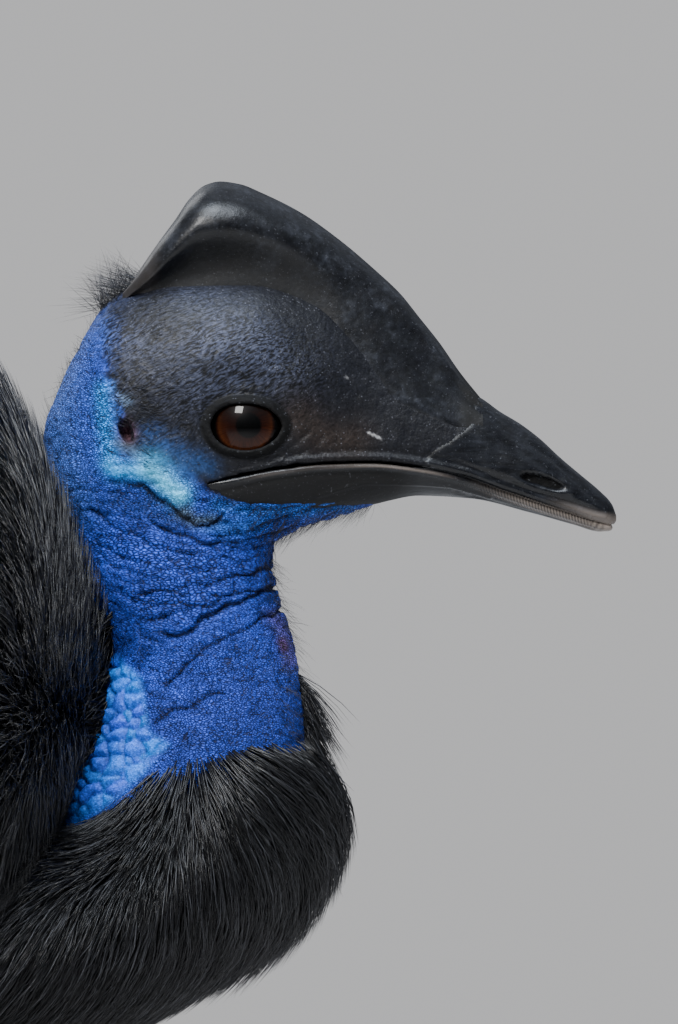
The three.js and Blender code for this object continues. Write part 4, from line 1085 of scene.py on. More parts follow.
def leg_skin():
    """Shanks and toes as one skin, with small scales round the sides and back, and painted shade in the
    grooves between them.
    """
    forms = []
    for side, _, shift in SIDES:
        forms.append(shank_form(side, shift))
        forms += [toe_form(side, shift, toe) for toe in TOES]
    grid = level_set(forms, LEG_VOXEL, 3)
    points, quads = grid.convertToQuads(isovalue=0)
    points, quads = points.astype(float), quads.astype(np.int64)
    out = normals(points, quads)
    inside, tone = cells(points * [1, 1, 0.85], 4.2, 41)
    fine, _ = cells(points, 2.2, 42)
    facing = np.maximum(out[:, 0], 0)
    plates = smoothstep(facing, 0.35, 0.6)
    height = points[:, 2] + EYE_HEIGHT
    foot = smoothstep(40 - height, 0, 15)
    plates = np.maximum(plates * (1 - foot), foot * smoothstep(out[:, 2], 0.3, 0.6))
    scale = smoothstep(inside, 0.02, 0.35)
    push = (1 - plates) * (0.55 * (scale - 0.5) + 0.15 * smoothstep(fine, 0, 0.3))
    points = points + out * push[:, None]
    points[:, 2] = np.maximum(points[:, 2], -EYE_HEIGHT)
    # Painted shade: the colour darkens in the sunken edges of the scales.
    relief = plates * 0.85 + (1 - plates) * (0.25 + 0.75 * scale)
    share = (0.5 + 0.5 * noise(points, 30, 43))[:, None]
    mixed = LEG_GREY * share + LEG_DARK * (1 - share)
    colour = mixed * (0.7 + 0.5 * tone[:, None]) * (0.3 + 0.8 * relief[:, None])
    return points, quads, colour


leg_points, leg_quads, leg_paint = leg_skin()

# One skin: the head and neck, the body under its feathers, and the scaled legs.
hidden = Field(trunk.low, 2 * TRUNK_VOXEL, trunk.values[::2, ::2, ::2])
trunk_points, trunk_quads = hidden.surface(-SKIN_DEPTH)
no_ends = np.zeros((0, 3), int)
skin_form = joined([
    (skin_points, skin_quads, no_ends),
    (trunk_points, trunk_quads, no_ends),
    (leg_points, leg_quads, no_ends),
])
trunk_paint = np.tile(TRUNK_BLACK, (len(trunk_points), 1))
skin_colour = np.vstack([skin_paint, trunk_paint, leg_paint])
rest = np.zeros(len(trunk_points) + len(leg_points))
skin_numbers = {
    "bare": np.concatenate([skin_bare, rest]),
    "coarse": np.concatenate([skin_coarse, rest]),
    "strokes": np.concatenate([skin_strokes, rest]),
}


# Feathers and bristles


def away_from(x, z, near, aside=1.0):
    """The lie of the coat: away from a place, and further from it back and down."""

    def way(points):
        leave = (points - [x, 0, z]) * [1, aside, 1]
        far = np.linalg.norm(leave, axis=1, keepdims=True)
        share = hill(far, 0, near)
        back = np.interp(points[:, 0], [-600, -350], [-0.25, -0.62])
        hang = np.stack([back, 0.0016 * points[:, 1], np.full(len(points), -0.72)], 1)
        return unit(hang * (1 - share) + leave / far * share)

    return way


def unit(vectors):
    """The same ways with a length of 1."""
    return vectors / np.maximum(np.linalg.norm(vectors, axis=-1, keepdims=True), 1e-9)


def comb(field, roots, lengths, heights, way, free=1.0, wander=None):
    """Paths over a form from their roots along the lie of the coat, pushed out to given heights."""
    count = heights.shape[1]
    points, outs = np.zeros((2, len(roots), count, 3))
    place_now = roots.copy()
    height, out = field.out(place_now)
    step = (lengths / (count - 1))[:, None]
    for i in range(count):
        if i > 0:
            along = way(place_now)
            if wander is not None:
                along = unit(along + wander[i - 1])
            away = np.sum(along * out, axis=1, keepdims=True)
            along = unit(along + out * np.where(away > 0, (free - 1) * away, -away))
            place_now = place_now + along * step
            height, out = field.out(place_now)
        lift = (heights[:, i] - height)[:, None]
        place_now = place_now + out * (np.maximum(lift, -0.45 * step) if i > 0 else lift)
        points[:, i], outs[:, i] = place_now, out
    return within_box(points), outs


BOX_LOW, BOX_HIGH = (np.array(corner) * 1000 - EYE_PLACE for corner in cad_box)
BOX_SPARE = 4.0
BOX_SOFT = 26.0


def within_box(points):
    """Points whose last stretch towards the solid's box is squeezed to stay in it."""
    for axis, (low, high) in enumerate(zip(BOX_LOW - BOX_SPARE, BOX_HIGH + BOX_SPARE)):
        value = points[..., axis]
        over = np.maximum(value - (high - BOX_SOFT), 0) / BOX_SOFT
        under = np.maximum((low + BOX_SOFT) - value, 0) / BOX_SOFT
        value = np.where(over > 0, high - BOX_SOFT + BOX_SOFT * np.tanh(over), value)
        points[..., axis] = np.where(under > 0, low + BOX_SOFT - BOX_SOFT * np.tanh(under), value)
    return points


# Section of a strand: across and out.
STRAND_SECTION = np.array([[1.0, -0.3], [0.0, 0.75], [-1.0, -0.3]])
# The size of a strand's patch in the OFBake map, and the part of the map that patches start in.
PATCH = 0.003
MAP_EDGE, MAP_SPAN = 0.005, 0.985


def strands(points, outs, half_widths, taper, places, shades):
    """Thin tapering tufts along paths, each with its own patch of the OFBake map."""
    count, steps = points.shape[:2]
    along = unit(np.gradient(points, axis=1))
    side = unit(np.cross(along, outs))
    up = np.cross(side, along)
    size = half_widths[:, None] * np.asarray(taper)[None, :-1]
    rings = points[:, :-1, None] + (
        side[:, :-1, None] * (STRAND_SECTION[:, 0, None] * size[..., None, None])
        + up[:, :-1, None] * (STRAND_SECTION[:, 1, None] * size[..., None, None])
    )
    each = 3 * (steps - 1) + 1
    corners = np.concatenate([rings.reshape(count, -1, 3), points[:, -1:]], 1)
    base = (np.arange(count) * each)[:, None, None]
    k = np.arange(3)
    ring = (np.arange(steps - 2) * 3)[:, None]
    quads = np.stack([ring + k, ring + (k + 1) % 3, ring + 3 + (k + 1) % 3, ring + 3 + k], -1).reshape(-1, 4)
    last = 3 * (steps - 2)
    tips = np.stack([last + k, last + (k + 1) % 3, np.full(3, each - 1)], -1)
    ends = np.vstack([tips, [[0, 2, 1]]])
    form = (
        corners.reshape(-1, 3),
        (base + quads).reshape(-1, 4),
        (base + ends).reshape(-1, 3),
    )
    level = np.arange(steps - 1) / (steps - 1)
    quad_u = np.tile(np.stack([k / 3, (k + 1) / 3, (k + 1) / 3, k / 3], -1), (steps - 2, 1))
    quad_v = np.repeat(np.stack([level[:-1], level[:-1], level[1:], level[1:]], -1), 3, axis=0)
    end_u = np.vstack([np.stack([k / 3, (k + 1) / 3, (k + 0.5) / 3], -1), [[0, 0.66, 0.33]]])
    end_v = np.vstack([np.tile([level[-1], level[-1], 1], (3, 1)), [[0, 0, 0.02]]])
    patch = [np.stack(pair, -1).reshape(1, -1, 2) * PATCH for pair in ((quad_u, quad_v), (end_u, end_v))]
    maps = [(places[:, None] + part).reshape(-1, 2) for part in patch]
    shares = np.concatenate([np.repeat(level, 3), [1.0]])
    numbers = {
        "along": np.tile(shares, count),
        "shade": np.repeat(shades, each),
    }
    return form, np.vstack(maps), numbers


def make_coat(name, parts):
    """One coat piece from several runs of strands."""
    form = joined([part[0] for part in parts])
    numbers = {key: np.concatenate([part[2][key] for part in parts]) for key in ("along", "shade")}
    piece = make_piece(name, form, numbers=numbers)
    quad_maps = [part[1][: 4 * len(part[0][1])] for part in parts]
    end_maps = [part[1][4 * len(part[0][1]) :] for part in parts]
    bake = piece.data.uv_layers.new(name="OFBake")
    bake.data.foreach_set("uv", np.vstack(quad_maps + end_maps).ravel().astype(np.float32))
    return piece


def quad_areas(points, quads):
    """The area of each four-sided face."""
    a, b, c, d = (points[quads[:, k]] for k in range(4))
    return np.linalg.norm(np.cross(c - a, d - b), axis=1) / 2


def scattered(points, quads, weights, count):
    """Random places on a surface, by a weight for each face, and the face that each is on."""
    chosen = rng.choice(len(quads), size=count, p=weights / weights.sum())
    u, v = rng.random((2, count, 1))
    a, b, c, d = (points[quads[chosen, k]] for k in range(4))
    return (a * (1 - u) + b * u) * (1 - v) + (d * (1 - u) + c * u) * v, chosen


def wrapped(angle, share):
    """A place in the OFBake map from an angle and a share, both round the skin's own shape."""
    shares = np.stack([(angle / (2 * np.pi)) % 1, np.clip(share, 0, 1)], 1)
    return MAP_EDGE + MAP_SPAN * shares


rng = np.random.default_rng(7)
# By growth: strands to a square millimetre, their length, rise and half-width, and how freely they lift.
DENSITY_BY_GROWTH = profile([[0, 1.1], [0.15, 0.55], [0.35, 0.13], [0.6, 0.05], [1, 0.031]])
LENGTH_BY_GROWTH = profile([[0, 27], [0.2, 44], [0.5, 84], [1, 138]])
RISE_BY_GROWTH = profile([[0, 5.0], [0.2, 7.0], [1, 13]])
HALF_WIDTH_BY_GROWTH = profile([[0, 0.19], [0.2, 0.29], [0.5, 0.75], [1, 1.2]])
FREE_BY_GROWTH = ([0, 0.2, 1], [0.12, 0.25, 0.45])
STRAND_TAPER = ([0, 0.3, 0.7, 1], [0.8, 1.0, 0.7, 0.1])
FLUFF_DENSITY = 0.42
COAT_PIECE_TRIANGLES = 190000
coat_points, coat_quads = trunk.surface(0.0)
face_centres = coat_points[coat_quads].mean(axis=1)
COLLAR_HEART = np.array([-50.0, 0.0, -110.0])
GROWTH_START, GROWTH_REACH = 55, 175
HUMP_X, HUMP_Z = -52, -66


def growth(points):
    """0 beside the bare neck to 1 over the body."""
    return np.clip((np.linalg.norm(points - COLLAR_HEART, axis=1) - GROWTH_START) / GROWTH_REACH, 0, 1)


def feathered(points):
    """Where the coat grows: below the edge of the bare neck, and on the front of the back behind it."""
    x, y, z = points.T
    below = z < collar_edge(x) + 1.5
    beside = (body_only.at(points) < 2) & (neck_field(x, y, z) > -1.5)
    return below | beside


share_here = growth(face_centres)
face_areas = quad_areas(coat_points, coat_quads)
wanted = face_areas * (DENSITY_BY_GROWTH(share_here) * feathered(face_centres))
roots, _ = scattered(coat_points, coat_quads, wanted, int(wanted.sum()))
roots = roots[feathered(roots)]
size = growth(roots)

collar_way = away_from(-16, -84, 400, 0.15)
body_way = away_from(-56, -110, 130)


def coat_way(points):
    """The lie of the coat, from the collar over to the body."""
    blend = smoothstep(growth(points), 0.05, 0.4)[:, None]
    return unit(collar_way(points) * (1 - blend) + body_way(points) * blend)


def hump_share(points):
    """1 on the fluffed front of the back, behind the neck."""
    x, _, z = points.T
    return np.exp(-(((x - HUMP_X) / 22) ** 2) - ((z - HUMP_Z) / 34) ** 2)


def grow_coat(name, roots, steps, unwrap):
    """One piece of the coat from its roots."""
    size = growth(roots)
    lengths = LENGTH_BY_GROWTH(size) * rng.uniform(0.75, 1.2, len(roots))
    rises = RISE_BY_GROWTH(size) + 9 * hump_share(roots)
    rises += 4 * smoothstep(roots[:, 0], 0, 20)
    rises *= rng.uniform(0.3, 1.1, len(roots))
    shares = np.linspace(0, 1, steps)
    climb = np.interp(shares, [0, 0.35, 0.7, 1], [0, 0.45, 0.85, 1.05])
    heights = rises[:, None] * climb[None] - 1.5 * (1 - shares)[None] ** 2
    clump = np.stack([noise(roots, 3 + 9 * size[:, None], 50 + k) for k in range(3)], 1)
    wander = [
        0.20 * clump + 0.10 * rng.normal(size=roots.shape) * (0.4 + i / steps) for i in range(steps - 1)
    ]
    free = np.interp(size, *FREE_BY_GROWTH)[:, None]
    points, outs = comb(trunk, roots, lengths, heights, coat_way, free, wander)
    half = HALF_WIDTH_BY_GROWTH(size) * rng.uniform(0.7, 1.25, len(roots))
    taper = np.interp(shares, *STRAND_TAPER)
    shades = rng.random(len(roots))
    return make_coat(name, [strands(points, outs, half, taper, unwrap(roots), shades)])


def round_body(points):
    x, y, z = points.T
    middle = (body_top(x) + body_bottom(x)) / 2
    return wrapped(np.arctan2(y, z - middle), (x - BODY_REAR) / (40 - BODY_REAR))


def round_bend(points):
    x, y, z = points.T
    return wrapped(np.arctan2(z + 110, x + 53), 0.5 + y / 200)


# More of the coat fluffs up behind the neck, from the front of the back.
front_of_back = (face_centres[:, 0] > -66) & (face_centres[:, 2] > -104) & (face_centres[:, 2] < -24)
front_of_back &= (body_only.at(face_centres) < 2) & (neck_field(*face_centres.T) > -3)
fluff_wanted = face_areas * (FLUFF_DENSITY * front_of_back)
fluff_roots, _ = scattered(coat_points, coat_quads, fluff_wanted, int(fluff_wanted.sum()))


def fluff_way(points):
    """The lie of the fluff: up, and more so higher up."""
    x, y, z = points.T
    return unit(np.stack([np.full(len(x), -0.1), 0.04 * y, 0.4 + 0.012 * (z + 90)], 1))


def grow_fluff(roots):
    steps = 4
    lengths = rng.uniform(14, 26, len(roots))
    shares = np.linspace(0, 1, steps)
    heights = rng.uniform(3, 10, len(roots))[:, None] * np.sqrt(shares)[None] - 1
    wander = [0.35 * rng.normal(size=roots.shape) for _ in range(steps - 1)]
    points, outs = comb(trunk, roots, lengths, heights, fluff_way, 0.6, wander)
    taper = np.interp(shares, *STRAND_TAPER)
    half = 0.28 * rng.uniform(0.7, 1.25, len(roots))
    shades = rng.random(len(roots))
    return make_coat("coat_fluff", [strands(points, outs, half, taper, round_body(roots), shades)])


coats = [grow_fluff(fluff_roots)]
NEAR_SHARE = 0.2
near = size < NEAR_SHARE
for label, chosen, steps, unwrap in (
    ("collar_right", near & (roots[:, 1] < 0), 4, round_bend),
    ("collar_left", near & (roots[:, 1] >= 0), 4, round_bend),
    ("body_right", ~near & (roots[:, 1] < 0), 5, round_body),
    ("body_left", ~near & (roots[:, 1] >= 0), 5, round_body),
):
    chosen_roots = roots[chosen]
    triangles_each = 6 * (steps - 2) + 4
    pieces_needed = int(np.ceil(len(chosen_roots) * triangles_each / COAT_PIECE_TRIANGLES))
    for part in range(pieces_needed):
        coats.append(
            grow_coat(f"coat_{label}_{part + 1}", chosen_roots[part::pieces_needed], steps, unwrap)
        )


# Bristles of the head and throat

skin_centres = skin_points[skin_quads].mean(axis=1)
skin_out = normals(skin_points, skin_quads)
# The lie of the bristles on the head, as [pixel x, pixel y, forwards, up].
FLOW = [
    [150, 330, -0.85, -0.50], [120, 390, -0.90, -0.30], [200, 320, -0.85, -0.50], [250, 330, -0.8, -0.6],
    [250, 385, -0.95, -0.30], [310, 370, -0.65, -0.75], [200, 460, -1.0, 0.05], [330, 440, -1.0, 0.1],
    [400, 430, -1.0, 0.3], [150, 430, -0.95, 0.2], [110, 450, -0.9, -0.3],
]
flow_places = at_pixel(*[row[:2] for row in FLOW])
flow_ways = np.array([[row[2], 0, row[3]] for row in FLOW])


def flow(points):
    """The lie of the bristles at places on the head."""
    far = np.hypot(points[:, 0, None] - flow_places[:, 0], points[:, 2, None] - flow_places[:, 1])
    weight = hill(far, 0, 14) + 1e-6
    return unit(weight @ flow_ways)


# Bristles as [outline in pixels, how many to a square millimetre, length, half-width, way, lift, steps].
BRISTLES = [
    [[(30, 270), (100, 270), (100, 470), (30, 470)], 0.12, 5, 0.05, (-0.6, 0, 0.5), 0.5, 3],
    [[(106, 288), (330, 288), (330, 470), (180, 475), (106, 440)], 2.0, 2.3, 0.075, None, 0.14, 2],
    [[(330, 300), (470, 300), (470, 470), (330, 470)], 0.6, 1.2, 0.07, None, 0.12, 2],
    [[(105, 385), (150, 385), (150, 470), (105, 470)], 0.7, 4.0, 0.06, (0.9, 0, -0.35), 0.35, 3],
    [[(255, 492), (440, 492), (440, 560), (255, 575)], 0.6, 6.5, 0.045, (-0.5, 0, -0.85), 0.45, 3],
    [[(262, 555), (340, 555), (340, 740), (285, 740)], 0.22, 6, 0.05, (0.7, 0, -0.45), 0.7, 4],
    [[(40, 470), (300, 500), (300, 830), (40, 830)], 0.05, 3.0, 0.05, (-0.1, 0, -1), 0.4, 3],
]
TUFT = [[(268, 672), (330, 672), (330, 750), (268, 750)], 2.4, 15, 0.2, (0.65, 0, -0.75), 0.4, 4]
CREST = [[(100, 215), (160, 235), (160, 300), (146, 312), (100, 316)], 1.0, 13, 0.06, (-0.6, 0, 0.75), 0.5, 4]
BEHIND = [[(60, 610), (115, 610), (110, 700), (98, 750), (60, 780)], 1.6, 13, 0.26, (-0.7, 0, -0.45), 0.6, 4]


def grow_bristles(outline, density, length, half, way, lift, steps, inside=lambda points: True):
    """Bristles on the skin inside an outline in side view."""
    region = outside_outline(skin_centres[:, 0], skin_centres[:, 2], at_pixel(*outline)) < 0
    region &= horn_cover(skin_centres[:, 0], skin_centres[:, 2]) < 0.2
    region &= outside_outline(skin_centres[:, 0], skin_centres[:, 2], lid_outline) > 2.2
    region &= inside(skin_centres)
    quads = skin_quads[region]
    area = quad_areas(skin_points, quads)
    count = int(area.sum() * density)
    roots, chosen = scattered(skin_points, quads, area, count)
    out = skin_out[quads[chosen, 0]]
    way = flow(roots) if way is None else np.tile(np.array(way, float), (count, 1))
    along = way + 0.16 * rng.normal(size=roots.shape)
    along += 0.22 * np.stack([noise(roots, 6, 60 + k) for k in range(3)], 1)
    flat = unit(along - out * np.sum(along * out, axis=1, keepdims=True))
    rise = lift * rng.uniform(0.5, 1.4, (count, 1))
    lengths = length * rng.uniform(0.5, 1.25, (count, 1))
    shares = np.linspace(0, 1, steps)
    points = np.stack([
        roots - out * 0.25 + (flat * share + out * rise * share * (1.35 - 0.5 * share)) * lengths
        + way * (0.22 * share**2) * lengths
        for share in shares
    ], 1)
    outs = np.repeat(out[:, None], steps, axis=1)
    places = wrapped(np.arctan2(roots[:, 1], roots[:, 2] + 60), (roots[:, 0] + 80) / 200)
    taper = np.interp(shares, [0, 0.5, 1], [1, 0.8, 0.1])
    return strands(points, outs, half * rng.uniform(0.7, 1.3, count), taper, places, rng.random(count))


throat_tuft = make_coat("coat_throat", [
    grow_bristles(*TUFT, lambda points: (np.abs(points[:, 1]) < 4.5) & (points[:, 0] > 4)),
    grow_bristles(*BEHIND, lambda points: np.abs(points[:, 1]) < 24),
])
bristle_coat = make_coat("coat_bristles", [
    *[grow_bristles(*row) for row in BRISTLES],
    grow_bristles(*CREST, lambda points: np.abs(points[:, 1]) < 11),
])

# Wings: a small flap on the shoulder with five bare quills

FLAP_WIDTHS, FLAP_DEPTHS = [13, 19, 19, 14, 5], [8, 9, 8, 5, 2.5]
QUILLS = 5
QUILL_LENGTH = 190.0
QUILL_TAPER = ([0, 0.25, 1], [2.2, 1.9, 0.35])


def ribbon(points, outs, half_widths, half_depths, around):
    """A tapering round form along one path."""
    along = np.gradient(points, axis=0)
    side = unit(np.cross(along, outs))
    up = unit(np.cross(side, along))
    angles = turns(around)
    return outward(loft([
        points[i]
        + np.cos(angles)[:, None] * side[i] * half_widths[i]
        + np.sin(angles)[:, None] * up[i] * half_depths[i]
        for i in range(len(points))
    ]))


def smooth_path(points, count):
    """More points along the same path."""
    return curve(points)(np.linspace(0, 1, count))


def spread_out(outs, shares, fine):
    """The ways out along one path, at finer shares of it."""
    return np.stack([np.interp(fine, shares, outs[0, :, k]) for k in range(3)], 1)


def wing_form(side):
    start = body_ring(-158.0, np.array([1.2]))[0] * [1, side, 1]
    shares = np.linspace(0, 1, 5)

    def flap_way(points):
        return np.tile([-0.8, 0, -0.42], (len(points), 1))

    flap, flap_outs = comb(
        body_only, start[None], np.array([84.0]), np.array([[-4.0, 9, 15, 17, 15]]), flap_way
    )
    fine = np.linspace(0, 1, 24)
    widths, depths = (np.interp(fine, shares, row) for row in (FLAP_WIDTHS, FLAP_DEPTHS))
    forms = [ribbon(smooth_path(flap[0], 24), spread_out(flap_outs, shares, fine), widths, depths, 24)]
    fine = np.linspace(0, 1, 40)
    quill_sizes = np.interp(fine, *QUILL_TAPER)
    for i in range(QUILLS):
        spread = (i - 2) / 2
        base = flap[0, 2] + [8 - 6 * abs(spread), 0, spread * 13]
        heights = np.array([[11, 20, 22.5, 22.5, 19.5]])

        def quill_way(points):
            drop = -0.5 + 0.3 * spread - 0.0022 * (flap[0, 2, 0] - points[:, 0])
            return np.stack([np.full(len(points), -0.78), 0 * drop, drop], 1)

        length = np.array([QUILL_LENGTH * (1 - 0.1 * abs(spread))])
        quill, outs = comb(body_only, base[None], length, heights, quill_way)
        quill_outs = spread_out(outs, shares, fine)
        forms.append(ribbon(smooth_path(quill[0], 40), quill_outs, quill_sizes, quill_sizes, 10))
    return joined(forms)


# Materials


class Nodes:
    """A procedural material under construction."""

    def __init__(self, name):
        self.material = bpy.data.materials.new(name)
        self.material.use_nodes = True
        self.tree = self.material.node_tree
        self.shader = self.tree.nodes["Principled BSDF"]
        self.place = self.tree.nodes.new("ShaderNodeTexCoord").outputs["Object"]

    def add(self, kind, values=None, **settings):
        node = self.tree.nodes.new("ShaderNode" + kind)
        for key, value in settings.items():
            setattr(node, key, value)
        for key, value in (values or {}).items():
            self.put(node.inputs[key], value)
        return node

    def put(self, socket, value):
        if isinstance(value, bpy.types.NodeSocket):
            self.tree.links.new(value, socket)
        else:
            socket.default_value = value

    def attribute(self, name, kind="Fac"):
        return self.add("Attribute", attribute_name=name).outputs[kind]

    def math(self, operation, a, b=0.0):
        values = {0: a, 1: b}
        if operation == "MULTIPLY_ADD":
            values[2] = 0.5
        return self.add("Math", values, operation=operation).outputs[0]

    def mix(self, share, a, b, kind="MIX"):
        return self.add("MixRGB", {0: share, 1: a, 2: b}, blend_type=kind).outputs[0]

    def times(self, a, b):
        return self.mix(1.0, a, b, "MULTIPLY")

    def ramp(self, value, stops):
        """Colours by value. A number stands for a grey."""
        node = self.add("ValToRGB", {0: value})
        elements = node.color_ramp.elements
        while len(elements) < len(stops):
            elements.new(0.5)
        for element, (position, colour) in zip(elements, stops):
            element.position = position
            element.color = (*(colour if isinstance(colour, tuple) else (colour,) * 3), 1)
        return node.outputs[0]

    def noise(self, scale, detail=3.0, stretch=(1, 1, 1), rough=0.5):
        place_here = self.place
        if stretch != (1, 1, 1):
            place_here = self.add("Mapping", {"Vector": self.place, "Scale": stretch}).outputs[0]
        values = {"Vector": place_here, "Scale": scale, "Detail": detail, "Roughness": rough}
        return self.add("TexNoise", values).outputs["Fac"]

    def bump(self, height, strength, distance, after=None):
        values = {"Height": height, "Strength": strength, "Distance": distance}
        if after is not None:
            values["Normal"] = after
        return self.add("Bump", values).outputs[0]

    def finish(self, **values):
        for key, value in values.items():
            self.put(self.shader.inputs[key.replace("_", " ")], value)
        return self.material


def skin_material():
    m = Nodes("skin")
    paint = m.attribute("paint", "Color")
    bare, coarse, strokes = (m.attribute(name) for name in ("bare", "coarse", "strokes"))
    drift = m.add("TexNoise", {"Vector": m.place, "Scale": 130.0, "Detail": 1.0}).outputs["Color"]
    drift = m.add("VectorMath", {0: drift, 1: (0.5, 0.5, 0.5)}, operation="SUBTRACT").outputs[0]
    drift = m.add("VectorMath", {0: drift, "Scale": 0.003}, operation="SCALE").outputs[0]
    moved = m.add("VectorMath", {0: m.place, 1: drift}, operation="ADD").outputs[0]
    rows = m.add("Mapping", {"Vector": moved, "Scale": (1.0, 1.0, 1.8)}).outputs[0]
    edges = [
        m.add("TexVoronoi", {"Vector": rows, "Scale": scale}, feature="DISTANCE_TO_EDGE").outputs[0]
        for scale in (1080.0, 730.0)
    ]
    edge = m.math("ADD", m.math("MULTIPLY", edges[1], coarse),
                  m.math("MULTIPLY", edges[0], m.math("SUBTRACT", 1.0, coarse)))
    pebble = m.ramp(edge, [(0.0, 0), (0.12, 0.62), (0.35, 1)])
    # Painted shade: bare skin darkens in the grooves between pebbles and is lightened on their tops.
    pebble_shade = m.ramp(edge, [(0.0, (0.05, 0.05, 0.07)), (0.12, 0.62), (0.38, 1.65)])
    colour = m.times(paint, m.mix(bare, (1, 1, 1, 1), pebble_shade))
    speckle = m.ramp(m.noise(1250, 3), [(0.32, 0.62), (0.52, 1), (0.72, (1.5, 1.45, 1.4))])
    colour = m.times(colour, speckle)
    # Fine bristle strokes on the crown, painted light as their sheen.
    turned = m.add("Mapping", {"Vector": moved, "Rotation": (0, 0.5, 0)}).outputs[0]
    drawn = m.add("Mapping", {"Vector": turned, "Scale": (0.20, 1, 1)}).outputs[0]
    hair = m.add("TexNoise", {"Vector": drawn, "Scale": 2000.0, "Detail": 2.0}).outputs["Fac"]
    stroke_sheen = m.ramp(hair, [(0.42, (0.25, 0.25, 0.27)), (0.60, (3.0, 3.1, 3.5))])
    colour = m.mix(strokes, colour, m.times(colour, stroke_sheen))
    bump = m.bump(pebble, m.math("MULTIPLY", bare, 0.7), 0.0005)
    bump = m.bump(hair, m.math("MULTIPLY", strokes, 0.5), 0.0003, bump)
    dots = m.add("TexVoronoi", {"Vector": m.place, "Scale": 950.0}).outputs["Distance"]
    dots = m.ramp(dots, [(0.12, (0.065, 0.068, 0.08)), (0.26, 0)])
    scatter = m.ramp(m.noise(300, 3), [(0.44, 0), (0.62, 1)])
    dots = m.times(dots, scatter)
    dots = m.mix(m.math("SUBTRACT", 1.0, bare), (0, 0, 0, 1), dots)
    colour = m.mix(1.0, colour, dots, "ADD")
    bump = m.bump(m.noise(800, 4), 0.65, 0.0004, bump)
    rough = m.ramp(m.noise(300, 3), [(0.3, 0.40), (0.7, 0.60)])
    bright = m.add("RGBToBW", {0: paint}).outputs[0]
    dull = m.ramp(m.math("MULTIPLY", bright, 100.0), [(0.20, 1), (0.55, 0)])
    rough = m.mix(dull, rough, (0.75, 0.75, 0.75, 1))
    return m.finish(Base_Color=colour, Roughness=rough, Normal=bump, Specular_IOR_Level=0.22)


PALE_HORN = (0.22, 0.185, 0.16, 1)
# Black for painted shade in hollows, also used on the dull rear of the lower bill.
HOLLOW_SHADE_BLACK = (0.002, 0.002, 0.002, 1)


def horn_material(name, along, rough_range, mottled):
    """Dark horn: mottled and scuffed, with fine streaks along it, and where marked, pale edges with a painted
    lip highlight, painted shade in rib grooves, and painted shade in hollows, which are also dull.
    """
    m = Nodes(name)
    pale, hollow_shade_and_dull, rib_shade = (m.attribute(label) for label in ("pale", "hollow_shade_and_dull", "rib_shade"))
    mottle = m.noise(110, 7, rough=0.7)
    colour = m.ramp(mottle, [(0.3, (0.002, 0.002, 0.003)), (0.52, (0.004, 0.0045, 0.006)),
                             (0.75, tuple(mottled * part for part in (0.020, 0.022, 0.028)))])
    streaks = m.noise(900, 3, along)
    colour = m.times(colour, m.ramp(streaks, [(0.35, 0.6), (0.7, 1.7)]))
    colour = m.mix(pale, colour, PALE_HORN)
    shadow = m.ramp(rib_shade, [(0, 1.2), (1, 0.25)])
    colour = m.times(colour, shadow)
    colour = m.mix(hollow_shade_and_dull, colour, HOLLOW_SHADE_BLACK)
    flecks = m.ramp(m.noise(1500, 2), [(0.64, 0), (0.78, (0.05, 0.052, 0.06))])
    colour = m.mix(1.0, colour, flecks, "ADD")
    rough = m.ramp(m.noise(170, 5), [(0.3, rough_range[0]), (0.7, rough_range[1])])
    rough = m.mix(hollow_shade_and_dull, rough, (0.8, 0.8, 0.8, 1))
    bump = m.bump(streaks, 0.45, 0.0002)
    bump = m.bump(m.noise(150, 6, rough=0.65), 0.45, 0.0005, bump)
    return m.finish(Base_Color=colour, Roughness=rough, Normal=bump, Specular_IOR_Level=0.36)


def eye_material():
    m = Nodes("eye")
    split = m.add("SeparateXYZ", {0: m.place})
    centre, pupil = place([0.0, 0, 0.5]), place([1.0, 0, 0.2])

    def far(middle):
        dx = m.math("SUBTRACT", split.outputs[0], middle[0])
        dz = m.math("SUBTRACT", split.outputs[2], middle[2])
        square = m.math("ADD", m.math("MULTIPLY", dx, dx), m.math("MULTIPLY", dz, dz))
        return m.math("MULTIPLY", m.math("SQRT", square), 100.0), dx, dz

    out, dx, dz = far(centre)
    middle, _, _ = far(pupil)
    spokes = m.add("CombineXYZ", {0: m.math("MULTIPLY", m.math("ARCTAN2", dz, dx), 6.0),
                                  1: m.math("MULTIPLY", out, 1.2)})
    fibre = m.add("TexNoise", {"Vector": spokes.outputs[0], "Scale": 2.4, "Detail": 4.0}).outputs["Fac"]
    iris = m.ramp(out, [
        (0.0, (0.007, 0.002, 0.001)), (0.46, (0.012, 0.003, 0.0015)), (0.66, (0.024, 0.0065, 0.0025)),
        (0.76, (0.042, 0.0125, 0.004)), (0.82, (0.012, 0.004, 0.002)), (0.87, (0.001, 0.001, 0.001)),
    ])
    # Painted shadow of the upper lid: the iris is darker towards the top and lighter below.
    lower = m.ramp(m.math("MULTIPLY_ADD", dz, -60.0), [(0.25, 0.16), (0.8, 1.25)])
    colour = m.times(iris, lower)
    tint = m.ramp(fibre, [(0.3, (0.6, 0.55, 0.55)), (0.7, (1.45, 1.4, 1.4))])
    colour = m.times(colour, tint)
    inner = m.ramp(middle, [(0.33, 0), (0.40, 1)])
    colour = m.times(colour, inner)
    return m.finish(Base_Color=colour, Roughness=0.4, Coat_Weight=0.35, Coat_Roughness=0.02,
                    Specular_IOR_Level=0.05)


